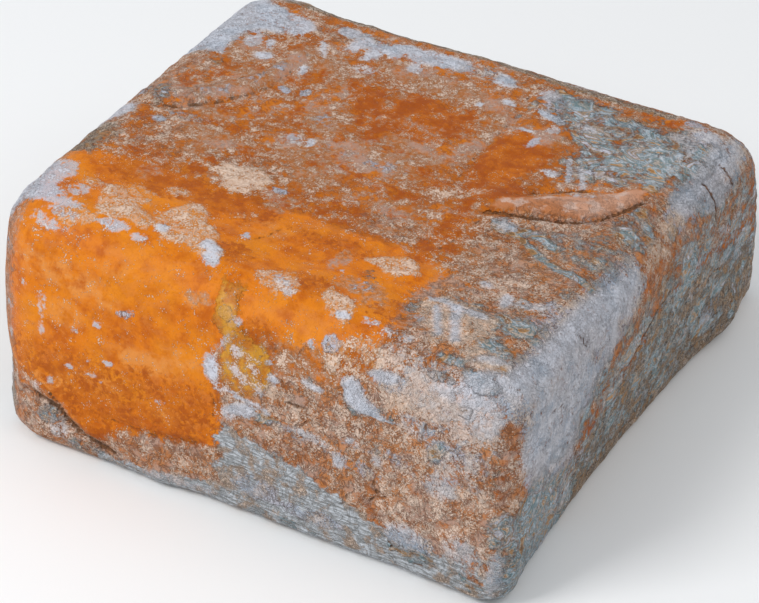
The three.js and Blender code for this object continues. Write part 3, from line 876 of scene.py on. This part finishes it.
FOOT_FADE = 4  # the lumps and the marks' rise come in over this height above the foot

# Folds across the front wall: the line (across and up), the half width and the rise
FRONT_FOLDS = (
    (((-70, 17.6), (-60, 15.8), (-55, 11.4), (-50, 8.2), (-42, 6.2)), 1.8, -1.3),
    (((-66, 22), (-56, 17), (-48, 12.5)), 3.5, 0.8),
    (((-41, 17.6), (-30, 17.4), (-20, 18.8), (-12, 20)), 1.6, -0.7),
    (((-3, 62), (4, 56), (6, 48)), 4.0, 0.9),
    (((34, 57), (40, 52), (49, 50)), 2.4, 0.9),
    (((36, 49), (43, 48), (50, 48.6)), 1.2, -0.5),
    (((48, 12), (52, 8.6), (60, 6), (66, 7)), 1.4, -0.8),
    (((-12, 70), (-6, 66), (2, 64)), 3.0, 0.7),
    (((40, 27), (45, 25), (45, 21)), 2.4, -0.7),
)


def wander(across, up):
    """Bends the marks on the two plainer walls with waves of a few millimetres, so that none of
    them is a neat oval."""
    bent = across + 5 * np.sin(up / 8) + 3 * np.sin(across / 6.5)
    return bent, up + 4 * np.sin(across / 9 + 1) + 1.5 * np.sin(up / 3)


def face_places(block, form):
    """For each face of the block: how far each point lies across and up that face, and how
    far off it, in millimetres."""
    x, y, z = form.T
    u, v, w = block[:, 0] / HALF_LENGTH, block[:, 1] / HALF_WIDTH, block[:, 2] / HEIGHT
    return {
        "top": (x, y, (1 - w) * HEIGHT),
        "front": (x, z, (1 + v) * HALF_WIDTH),
        "right": (y, z, (1 - u) * HALF_LENGTH),
        "left": (*wander(y, z), (1 + u) * HALF_LENGTH),
        "back": (*wander(x, z), (1 - v) * HALF_WIDTH),
        "foot": (x, y, w * HEIGHT),
    }


def join_marks(kind, places):
    """How strongly one kind of mark shows at each point, from 0 to 1."""
    total = np.zeros(len(places["top"][0]))
    for face, marks in kind.items():
        across, up, off = places[face]
        near = off < REACH
        for mark in marks:
            strength = mark(across[near], up[near], off[near])
            added = total[near] + np.maximum(strength, 0) * (1 - total[near])
            total[near] = added * (1 + np.minimum(strength, 0))
    return total


def fold_rise(folds, across, up, fade):
    """How far the folds lift the surface, in millimetres, where fade is 1."""
    rise = np.zeros(across.shape)
    for line, half_width, height in folds:
        away = line_distance(across, up, line) / half_width
        rise += fade * height * np.exp(-(away**2))
    return rise


# ---------------------------------------------------------------- node trees


class Signal:
    """A socket of a node tree. Arithmetic on it adds Math nodes to the tree."""

    def __init__(self, tree, socket=None):
        self.tree, self.socket = tree, socket

    def node(self, kind, settings=(), inputs=(), output=0):
        """Adds a node. Its settings come first, then the values or links of its sockets."""
        made = self.tree.nodes.new(kind)
        for name, value in dict(settings).items():
            if name == "stops":
                self.set_stops(made.color_ramp, value)
            else:
                setattr(made, name, value)
        for name, value in dict(inputs).items():
            if isinstance(value, Signal):
                self.tree.links.new(value.socket, made.inputs[name])
            else:
                made.inputs[name].default_value = value
        return Signal(self.tree, made.outputs[output] if made.outputs else None)

    @staticmethod
    def set_stops(ramp, stops):
        """Gives a colour ramp its stops: a position and a colour each."""
        while len(ramp.elements) < len(stops):
            ramp.elements.new(1)
        for element, (position, colour) in zip(ramp.elements, stops):
            element.position, element.color = position, (*colour, 1)

    def maths(self, operation, *values):
        return self.node("ShaderNodeMath", {"operation": operation}, enumerate(values))

    def __add__(self, other):
        return self.maths("ADD", self, other)

    def __sub__(self, other):
        return self.maths("SUBTRACT", self, other)

    def __rsub__(self, other):
        return self.maths("SUBTRACT", other, self)

    def __mul__(self, other):
        return self.maths("MULTIPLY", self, other)

    def __abs__(self):
        return self.maths("ABSOLUTE", self)

    def larger(self, other):
        return self.maths("MAXIMUM", self, other)

    __radd__, __rmul__ = __add__, __mul__

    def step(self, low, high):
        """Rises smoothly from 0 to 1 as this signal goes from low to high."""
        sockets = {"Value": self, "From Min": low, "From Max": high}
        return self.node("ShaderNodeMapRange", {"interpolation_type": "SMOOTHSTEP"}, sockets)

    def scaled(self, factor):
        """This vector times a number, or times three numbers."""
        if isinstance(factor, (tuple, Signal)):
            return self.node("ShaderNodeVectorMath", {"operation": "MULTIPLY"}, {0: self, 1: factor})
        return self.node("ShaderNodeVectorMath", {"operation": "SCALE"}, {0: self, "Scale": factor})

    def noise(self, size, detail=2.0, roughness=0.55, distortion=0.0, output=0):
        """Noise at this place, with features of about the given size."""
        sockets = {"Vector": self, "Scale": 1 / size, "Detail": detail, "Roughness": roughness}
        sockets["Distortion"] = distortion
        return self.node("ShaderNodeTexNoise", {"noise_dimensions": "3D"}, sockets, output)

    def ramp(self, *stops):
        """The colour that a row of stops gives this signal."""
        return self.node("ShaderNodeValToRGB", {"stops": stops}, {"Fac": self})

    def channels(self):
        """The three parts of this colour, each as a signal."""
        split = self.node("ShaderNodeSeparateColor", (), {"Color": self}).socket.node
        return [Signal(self.tree, socket) for socket in split.outputs]

    def cells(self, size):
        """Distance to the nearest of many scattered points, about the given size apart, and
        a colour that differs from point to point."""
        near = self.node("ShaderNodeTexVoronoi", (), {"Vector": self, "Scale": 1 / size})
        return near, Signal(self.tree, near.socket.node.outputs["Color"])


def blend(share, first, second):
    """Goes from the first number to the second as share goes from 0 to 1."""
    return first + (second - first) * share


def tint(share, first, second):
    """Goes from the first colour to the second as share goes from 0 to 1."""
    colours = [c if isinstance(c, Signal) else (*c, 1) for c in (first, second)]
    inputs = {0: share, 6: colours[0], 7: colours[1]}
    return share.node("ShaderNodeMix", {"data_type": "RGBA"}, inputs, output=2)


# ---------------------------------------------------------------- relief of the rind

RELIEF_SIZES = {
    "Lump height": 1.6 * MM,
    "Lump size": 16 * MM,
    "Grain height": 1.3 * MM,
    "Grain size": 3.6 * MM,
    "Wrinkle height": 1.0 * MM,
    "Wrinkle size": 2.6 * MM,
}
LEVEL_STRETCH = (0.3, 0.3, 2.2)  # draws noise out along the floor, so that its wrinkles lie level


def named_field(start, name):
    """A field that the marks left on the mesh, read in a Geometry Nodes tree."""
    return start.node("GeometryNodeInputNamedAttribute", {"data_type": "FLOAT"}, {"Name": name})


def relief_tree():
    """Pushes the surface out and in: the marks' own lift, broad lumps, small lumps where the
    rind is dry, and level wrinkles where the mould is fibrous."""
    tree = bpy.data.node_groups.new("rind relief", "GeometryNodeTree")
    interface = tree.interface
    interface.new_socket("Geometry", in_out="INPUT", socket_type="NodeSocketGeometry")
    for name in RELIEF_SIZES:
        interface.new_socket(name, in_out="INPUT", socket_type="NodeSocketFloat")
    interface.new_socket("Rind", in_out="INPUT", socket_type="NodeSocketMaterial")
    interface.new_socket("Geometry", in_out="OUTPUT", socket_type="NodeSocketGeometry")

    start = Signal(tree)
    group = start.node("NodeGroupInput").socket.node
    given = {socket.name: Signal(tree, socket) for socket in group.outputs if socket.name}
    place = start.node("GeometryNodeInputPosition")
    normal = start.node("GeometryNodeInputNormal")

    def bumps(where, size, detail):
        scaled = where.node("ShaderNodeVectorMath", {"operation": "DIVIDE"}, {0: where, 1: size})
        sockets = {"Vector": scaled, "Scale": 1, "Detail": detail, "Roughness": 0.55}
        return where.node("ShaderNodeTexNoise", (), sockets) - 0.5

    lumps = bumps(place, given["Lump size"], 3.0) * given["Lump height"]
    grain = bumps(place, given["Grain size"], 2.0) * given["Grain height"] * named_field(start, "dry")
    wrinkles = bumps(place.scaled(LEVEL_STRETCH), given["Wrinkle size"], 2.0)
    wrinkles = wrinkles * given["Wrinkle height"] * named_field(start, "fibrous")
    rise = (lumps + grain + wrinkles + named_field(start, "lift")) * named_field(start, "free")

    push = {"Geometry": given["Geometry"], "Offset": normal.scaled(rise)}
    moved = start.node("GeometryNodeSetPosition", (), push)
    smoothed = start.node("GeometryNodeSetShadeSmooth", (), {"Geometry": moved})
    real = start.node("GeometryNodeRealizeInstances", (), {"Geometry": smoothed})
    done = start.node("GeometryNodeSetMaterial", (), {"Geometry": real, "Material": given["Rind"]})
    start.node("NodeGroupOutput", (), {"Geometry": done})
    return tree


def add_relief(piece, material):
    """Runs the relief tree on a piece and returns the plain mesh that it leaves."""
    tree = relief_tree()
    settings = {**RELIEF_SIZES, "Rind": material}
    modifier = piece.modifiers.new("relief", "NODES")
    modifier.node_group = tree
    for socket in tree.interface.items_tree:
        if socket.name in settings:
            modifier[socket.identifier] = settings[socket.name]
    depsgraph = bpy.context.evaluated_depsgraph_get()
    ready = piece.evaluated_get(depsgraph)
    mesh = bpy.data.meshes.new_from_object(ready, preserve_all_data_layers=True, depsgraph=depsgraph)
    piece.modifiers.remove(modifier)
    return mesh


# ---------------------------------------------------------------- finish of the rind

BUMP_DEPTH = 1.5 * MM  # how deep the bump looks where a finish's height changes by one

# One finish of the rind. Most finishes have no gloss.
Finish = namedtuple("Finish", "colour roughness height gloss", defaults=(0,))


def lay(under, share, over):
    """Lays one finish over another where share is 1. Their heights add up."""
    return Finish(
        tint(share, under.colour, over.colour),
        blend(share, under.roughness, over.roughness),
        under.height + over.height * share,
        blend(share, under.gloss, over.gloss),
    )


class Rind:
    """The signals that the layers of the rind share, all in millimetres."""

    def __init__(self, tree):
        start = Signal(tree)
        self.start = start
        self.place = start.node("ShaderNodeTexCoord", output=3).scaled(1 / MM)
        self.broad = self.place.noise(15, 2.0, output=1).channels()
        self.middle = self.place.noise(4.6, 3.0, 0.6, output=1).channels()
        self.fine = self.place.noise(1.5, 3.0, 0.65, output=1).channels()
        self.tiny = self.place.noise(0.55, 1.0, 0.5)
        self.swirl = self.place.scaled((0.6, 0.85, 1.5)).noise(7.0, 3.0, 0.5, 1.7)
        self.curl = abs(self.place.noise(0.85, 1.5, 0.5, 1.2) - 0.5)
        self.grain, each = self.place.cells(0.66)
        self.each = each.channels()[0]
        self.vein = self.place.scaled((1, 1, 0.75)).noise(3.4, 3.0, 0.6, 0.9) - 0.5
        # Thin winding lines where the vein noise crosses its middle. Colours are darkened there as painted
        # shade in fine cracks. The band beside them lifts the rim and draws beads, and where a finish
        # lightens that band, it is a painted highlight.
        self.gap = (self.vein * self.vein).step(0.0009, 0.0001)
        self.crack_rim_and_highlight = (self.vein * self.vein).step(0.006, 0.0012) - self.gap
        self.fibre = self.place.scaled((0.22, 0.22, 1.9)).noise(1.1, 3.0, 0.65, 0.4)

    def field(self, name):
        """A field that the marks left on the mesh."""
        return self.start.node("ShaderNodeAttribute", {"attribute_name": name}, output=2)

    def cover(self, name, channel, ragged, speckled, soft):
        """Where one kind of mark shows, with a ragged, speckled edge."""
        broken = self.field(name) + (self.middle[channel] - 0.5) * ragged
        broken = broken + (self.fine[channel] - 0.5) * speckled
        return broken.step(0.5 - soft, 0.5 + soft) * self.field(name).step(0, 0.2)


def orange_ground(rind):
    colour = tint(rind.broad[0].step(0.38, 0.62), (0.42, 0.105, 0.004), (0.55, 0.155, 0.006))
    colour = tint(rind.fine[0].step(0.5, 0.68) * 0.7, colour, (0.34, 0.10, 0.025))
    # Painted shade in the fine cracks.
    colour = tint(rind.gap * 0.6, colour, (0.24, 0.06, 0.01))
    return Finish(colour, rind.fine[1] * 0.3 + 0.45, rind.tiny * 0.06 + rind.fine[0] * 0.2)


def wet_paste(rind):
    colour = tint(rind.middle[0].step(0.34, 0.6), (0.48, 0.105, 0.001), (0.66, 0.175, 0.002))
    colour = tint(rind.broad[1].step(0.42, 0.66) * 0.6, colour, (0.74, 0.24, 0.006))
    colour = tint((rind.swirl - rind.tiny * 0.2).step(0.44, 0.5) * 0.35, colour, (0.60, 0.19, 0.035))
    colour = tint(rind.fine[1].step(0.56, 0.7) * 0.3, colour, (0.42, 0.085, 0.002))
    colour = tint(rind.field("peach") * rind.middle[1].step(0.36, 0.6), colour, (0.72, 0.27, 0.055))
    return Finish(colour, rind.fine[1] * 0.3 + 0.33, rind.fine[0] * 0.1, 0.03)


def rust(rind):
    colour = tint(rind.middle[1].step(0.38, 0.62), (0.34, 0.065, 0.001), (0.52, 0.13, 0.002))
    return Finish(colour, rind.fine[1] * 0.3 + 0.4, rind.fine[1] * 0.12, 0.05)


def bloom(rind):
    colour = tint(rind.fine[2].step(0.4, 0.6), (0.37, 0.135, 0.035), (0.46, 0.255, 0.16))
    colour = tint(rind.broad[0].step(0.48, 0.62) * 0.6, colour, (0.44, 0.325, 0.295))
    colour = tint(rind.tiny.step(0.5, 0.75) * 0.4, colour, (0.57, 0.40, 0.31))
    return Finish(colour, rind.fine[1] * 0.2 + 0.5, rind.tiny * 0.08)


def scurf(rind):
    colour = tint(rind.fine[0].step(0.36, 0.62), (0.34, 0.115, 0.035), (0.51, 0.22, 0.10))
    veil = (rind.swirl * 0.5 + rind.middle[2] * 0.5).step(0.45, 0.58)
    colour = tint(veil * 0.75, colour, (0.45, 0.325, 0.275))
    colour = tint(rind.broad[1].step(0.48, 0.64) * 0.7, colour, (0.54, 0.215, 0.07))
    # Painted shade in the fine cracks.
    colour = tint(rind.gap * 0.7, colour, (0.15, 0.065, 0.035))
    return Finish(colour, rind.fine[1] * 0.2 + 0.5, rind.fine[0] * 0.3 + rind.crack_rim_and_highlight * 0.15)


def earth(rind):
    colour = tint(rind.fibre.step(0.38, 0.6), (0.10, 0.08, 0.06), (0.29, 0.22, 0.16))
    colour = tint(rind.middle[0].step(0.46, 0.6), colour, (0.33, 0.19, 0.09))
    # Painted highlight along the crack rims, then painted shade in the cracks.
    colour = tint(rind.crack_rim_and_highlight * 0.6, colour, (0.42, 0.36, 0.29))
    colour = tint(rind.gap * 0.8, colour, (0.07, 0.055, 0.045))
    return Finish(colour, rind.fine[1] * 0.2 + 0.55, rind.fine[0] * 0.4 + rind.fibre * 0.4)


def slate_mould(rind):
    """Marbled teal, blue and white film with brown showing between, and a painted highlight streaked through
    the blue.
    """
    colour = rind.swirl.ramp(
        (0.30, (0.22, 0.12, 0.05)),
        (0.37, (0.48, 0.26, 0.10)),
        (0.41, (0.50, 0.46, 0.42)),
        (0.45, (0.14, 0.22, 0.23)),
        (0.50, (0.26, 0.36, 0.41)),
        # This pale blue-white stop between the two blues is a painted highlight on the smooth film.
        (0.53, (0.52, 0.58, 0.63)),
        (0.57, (0.20, 0.29, 0.34)),
        (0.61, (0.34, 0.24, 0.15)),
        (0.66, (0.56, 0.58, 0.66)),
    )
    colour = tint(rind.fine[1].step(0.55, 0.66) * 0.6, colour, (0.38, 0.24, 0.15))
    # Faint painted shade in the fine cracks.
    colour = tint(rind.gap * 0.15, colour, (0.12, 0.10, 0.08))
    return Finish(colour, rind.fine[1] * 0.2 + 0.35, rind.swirl * 1.7 + rind.fine[0] * 0.15)


def lilac_film(rind):
    colour = tint(rind.broad[2].step(0.4, 0.62), (0.41, 0.47, 0.57), (0.53, 0.51, 0.58))
    colour = tint(rind.middle[1].step(0.49, 0.63) * 0.8, colour, (0.56, 0.45, 0.39))
    colour = tint(rind.tiny.step(0.52, 0.3) * 0.6, colour, (0.19, 0.17, 0.18))
    colour = tint(rind.fine[0].step(0.54, 0.65) * 0.75, colour, (0.28, 0.15, 0.09))
    # Painted highlight along the crack rims, then painted shade in the cracks.
    colour = tint(rind.crack_rim_and_highlight * 0.5, colour, (0.60, 0.62, 0.70))
    colour = tint(rind.gap * 0.75, colour, (0.13, 0.10, 0.09))
    return Finish(colour, rind.fine[1] * 0.2 + 0.45, rind.tiny * 0.25 + rind.fine[0] * 0.25)


def grey_mould(rind):
    colour = tint(rind.fibre.step(0.4, 0.58), (0.27, 0.28, 0.285), (0.56, 0.59, 0.63))
    colour = tint(rind.middle[1].step(0.48, 0.64) * 0.8, colour, (0.36, 0.24, 0.16))
    # Painted shade in the fine cracks.
    colour = tint(rind.gap * 0.35, colour, (0.14, 0.12, 0.10))
    return Finish(colour, rind.fine[1] * 0.1 + 0.6, rind.fibre * 0.6)


def white_veil(rind):
    colour = tint(rind.broad[2].step(0.4, 0.6), (0.46, 0.52, 0.61), (0.54, 0.52, 0.55))
    return Finish(colour, rind.fine[1] * 0.1 + 0.6, rind.fine[1] * 0.15)


def crust(rind):
    colour = tint(rind.fine[0].step(0.4, 0.56), (0.58, 0.24, 0.06), (0.70, 0.48, 0.34))
    return Finish(colour, rind.fine[1] * 0.1 + 0.6, rind.fine[0] * 0.35)


def ooze(rind):
    colour = tint(rind.middle[2].step(0.4, 0.6), (0.46, 0.15, 0.008), (0.58, 0.27, 0.02))
    colour = tint(rind.fine[2].step(0.55, 0.7) * 0.7, colour, (0.28, 0.14, 0.03))
    return Finish(colour, rind.fine[1] * 0.2 + 0.25, rind.middle[1] * 0.5, 0.15)


def pink_paste(rind):
    colour = tint(rind.broad[0].step(0.38, 0.62), (0.48, 0.18, 0.07), (0.56, 0.29, 0.185))
    colour = tint(rind.middle[2].step(0.5, 0.62) * 0.8, colour, (0.62, 0.43, 0.35))
    return Finish(colour, rind.fine[1] * 0.2 + 0.35, rind.fine[1] * 0.05, 0.05)


# Painted shade for the creases: a dark brown that stands in for the shade inside them, with a bump that
# sinks them.
def painted_crease_shade(rind):
    colour = tint(rind.fine[0].step(0.4, 0.6), (0.11, 0.05, 0.022), (0.25, 0.105, 0.04))
    return Finish(colour, rind.fine[1] * 0.1 + 0.6, -0.5)


# How much denser the beads stand on each kind of mark, or how much thinner below zero
BEADS_ON = {
    "crust": 0.55,
    "white": 0.5,
    "scurf": 0.2,
    "lilac": -0.1,
    "rust": -0.12,
    "wet": -0.22,
    "slate": -0.25,
    "grey": -0.3,
    "paste": -0.8,
}


def frost(rind, finish):
    """Pale beads of dried salt and yeast. Where they are dense they run together."""
    white = rind.field("white")
    density = rind.crack_rim_and_highlight * 0.2 + 0.17
    for name, share in BEADS_ON.items():
        density = density + rind.field(name) * share
    density = density + (rind.middle[1] - 0.5) * 2.0 + (rind.fine[2] - 0.5) * 1.2
    dots = (density * 0.8 - rind.grain).step(-0.13, 0.02)
    thin = rind.field("wet") * 0.06 + rind.field("bloom") * 0.018
    lace = (density * 0.13 - thin - rind.curl).step(-0.006, 0.024)
    beads = (dots * 0.8).larger(lace * 0.72)
    colour = tint(white, (0.80, 0.65, 0.54), (0.66, 0.69, 0.78))
    shade = tint(white, (0.50, 0.32, 0.22), (0.40, 0.41, 0.45))
    colour = tint(rind.each * 0.6, colour, shade)
    return lay(finish, beads * 0.9, Finish(colour, rind.fine[1] * 0.1 + 0.4, 0.2))


# The finishes from the inside out: the kind of mark that shows each one, which channel of noise
# breaks its edge, how ragged, speckled and soft that edge is, and how well the finish covers
LAYERS = (
    ("wet", 0, 0.9, 0.3, 0.2, 1.0, wet_paste),
    ("rust", 0, 2.0, 2.2, 0.3, 0.85, rust),
    ("bloom", 1, 2.0, 1.8, 0.32, 0.85, bloom),
    ("scurf", 0, 1.5, 1.2, 0.25, 0.9, scurf),
    ("earth", 1, 1.4, 1.0, 0.25, 0.95, earth),
    ("grey", 0, 1.6, 1.4, 0.2, 1.0, grey_mould),
    ("lilac", 2, 1.8, 1.3, 0.2, 0.92, lilac_film),
    ("slate", 2, 1.8, 1.2, 0.25, 0.92, slate_mould),
    ("crust", 1, 1.8, 2.4, 0.25, 0.6, crust),
    ("white", 2, 2.0, 2.2, 0.3, 0.78, white_veil),
    ("ooze", 0, 1.6, 1.4, 0.25, 0.9, ooze),
    ("paste", 1, 0.9, 0.5, 0.3, 1.0, pink_paste),
)


def rind_finish(rind):
    """The whole finish: paste, mould and crust in layers, beads over them, and painted shade in the creases
    through all.
    """
    finish = orange_ground(rind)
    for name, channel, ragged, speckled, soft, strength, make in LAYERS:
        share = rind.cover(name, channel, ragged, speckled, soft) * strength
        finish = lay(finish, share, make(rind))
    finish = frost(rind, finish)
    # Painted shade laid into the creases and cracks.
    return lay(finish, rind.cover("crease", 2, 1.4, 0.9, 0.25) * 0.9, painted_crease_shade(rind))


def rind_material():
    material = bpy.data.materials.new("washed rind")
    material.use_nodes = True
    tree = material.node_tree
    tree.nodes.clear()
    rind = Rind(tree)
    finish = rind_finish(rind)
    bump = {"Strength": 1, "Distance": BUMP_DEPTH, "Height": finish.height}
    skin = {
        "Base Color": finish.colour,
        "Roughness": finish.roughness,
        "Coat Weight": finish.gloss,
        "Coat Roughness": 0.3,
        "Specular IOR Level": 0.15,
        "Normal": rind.start.node("ShaderNodeBump", (), bump),
    }
    surface = rind.start.node("ShaderNodeBsdfPrincipled", (), skin)
    rind.start.node("ShaderNodeOutputMaterial", (), {"Surface": surface})
    return material


# ---------------------------------------------------------------- the cheese


def rind_shape():
    """The fine surface of the cheese in metres, its faces, and the fields that the marks
    leave on it."""
    box, faces = grid_surface()
    block = round_block(box)
    form = settle(block)
    places = face_places(block, form)
    fields = {name: join_marks(kind, places) for name, kind in KINDS.items()}
    for name, loss in THINNED_BY_RUST.items():
        fields[name] = fields[name] * (1 - loss * fields["rust"])
    wet = np.maximum(fields["wet"] * (1 - fields["white"]), fields["paste"])
    fields["dry"] = 1 - WET_SMOOTHNESS * wet
    fields["fibrous"] = np.maximum(fields["grey"], fields["slate"])
    fields["free"] = smooth(0, FOOT_FADE, places["foot"][2])
    fields["lift"] = MM * sum(rise * fields[name] for name, rise in RELIEF.items())

    low, high = form.min(0), form.max(0)
    across, up, off = places["front"]
    form[:, 1] -= fold_rise(FRONT_FOLDS, across, up, np.exp(-((off / FRONT_FADE) ** 2)))
    form[:, 2] += fold_rise(FOLDS, *places["top"][:2], (block[:, 2] / HEIGHT) ** FOLD_FADE)
    form[:, 2] = np.maximum(form[:, 2], 0)
    shift = (np.array(block_low) + np.array(block_high)) / 2 / MM - (low + high) / 2
    shift[2] = np.array(block_low)[2] / MM
    return (form + shift) * MM, faces, fields, shift


def make_cheese():
    form, faces, fields, shift = rind_shape()
    mesh = bpy.data.meshes.new("rind")
    mesh.from_pydata(form, [], faces)
    for name, values in fields.items():
        layer = mesh.attributes.new(name, "FLOAT", "POINT")
        layer.data.foreach_set("value", np.ascontiguousarray(values, dtype=np.float32))
    mesh.update()
    cheese = bpy.data.objects.new("cheese_rind", mesh)
    bpy.context.scene.collection.objects.link(cheese)
    cheese.data = add_relief(cheese, rind_material())
    return cheese, shift


# ---------------------------------------------------------------- camera, light and floor


def place_camera(shift):
    """A long lens, from the right of the front and a third of the way up, turned very
    slightly about its axis."""
    azimuth, elevation, roll = (math.radians(a) for a in (27.0, 34.5, 1.24))
    distance, aim_height, aim_across, aim_up = 1053.1, 35.89, 0.57, -12.47
    back = Vector((
        math.sin(azimuth) * math.cos(elevation),
        -math.cos(azimuth) * math.cos(elevation),
        math.sin(elevation),
    ))
    right = Vector((math.cos(azimuth), math.sin(azimuth), 0))
    up = back.cross(right)
    middle = Vector((shift[0], shift[1], aim_height)) + right * aim_across + up * aim_up
    lens = bpy.data.cameras.new("camera")
    lens.lens, lens.sensor_width = 167.4, 36.0
    lens.clip_start, lens.clip_end = 0.01, 20
    camera = bpy.data.objects.new("camera", lens)
    turned_right = right * math.cos(roll) + up * math.sin(roll)
    turned_up = up * math.cos(roll) - right * math.sin(roll)
    camera.matrix_world = Matrix.Translation((middle + back * distance) * MM) @ Matrix(
        (turned_right, turned_up, back)
    ).transposed().to_4x4()
    bpy.context.scene.collection.objects.link(camera)
    bpy.context.scene.camera = camera


LIT_HEIGHT = 0.04  # the lamps look at a point this far above the floor, in metres


def area_light(name, direction, distance, size, power):
    """A square lamp that looks at the cheese from the given direction. Sizes are in metres."""
    lamp = bpy.data.lights.new(name, "AREA")
    lamp.size, lamp.energy = size, power
    light = bpy.data.objects.new(name, lamp)
    way = Vector(direction).normalized()
    light.location = way * distance + Vector((0, 0, LIT_HEIGHT))
    light.rotation_euler = way.to_track_quat("Z", "Y").to_euler()
    bpy.context.scene.collection.objects.link(light)


def plain_material(name, colour, roughness):
    material = bpy.data.materials.new(name)
    material.use_nodes = True
    surface = material.node_tree.nodes["Principled BSDF"]
    surface.inputs["Base Color"].default_value = (*colour, 1)
    surface.inputs["Roughness"].default_value = roughness
    return material


def lay_floor():
    half = 2.5
    mesh = bpy.data.meshes.new("floor")
    corners = [(-half, -half, 0), (half, -half, 0), (half, half, 0), (-half, half, 0)]
    mesh.from_pydata(corners, [], [(0, 1, 2, 3)])
    mesh.materials.append(plain_material("pale floor", (0.9, 0.9, 0.9), 0.9))
    floor = bpy.data.objects.new("floor", mesh)
    bpy.context.scene.collection.objects.link(floor)


def light_scene():
    world = bpy.data.worlds.new("studio")
    world.use_nodes = True
    sky = world.node_tree.nodes["Background"]
    sky.inputs["Color"].default_value = (0.94, 0.97, 1.0, 1)
    sky.inputs["Strength"].default_value = 0.64
    bpy.context.scene.world = world
    area_light("key light", (-0.5, -0.75, 0.85), 1.2, 0.5, 7.5)
    area_light("fill light", (0.8, 0.1, 1.0), 1.2, 0.8, 2.0)
    bpy.context.scene.view_settings.view_transform = "Standard"


cheese, shift = make_cheese()
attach(cheese, "root")
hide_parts("cheese_block")
place_camera(shift)
lay_floor()
light_scene()
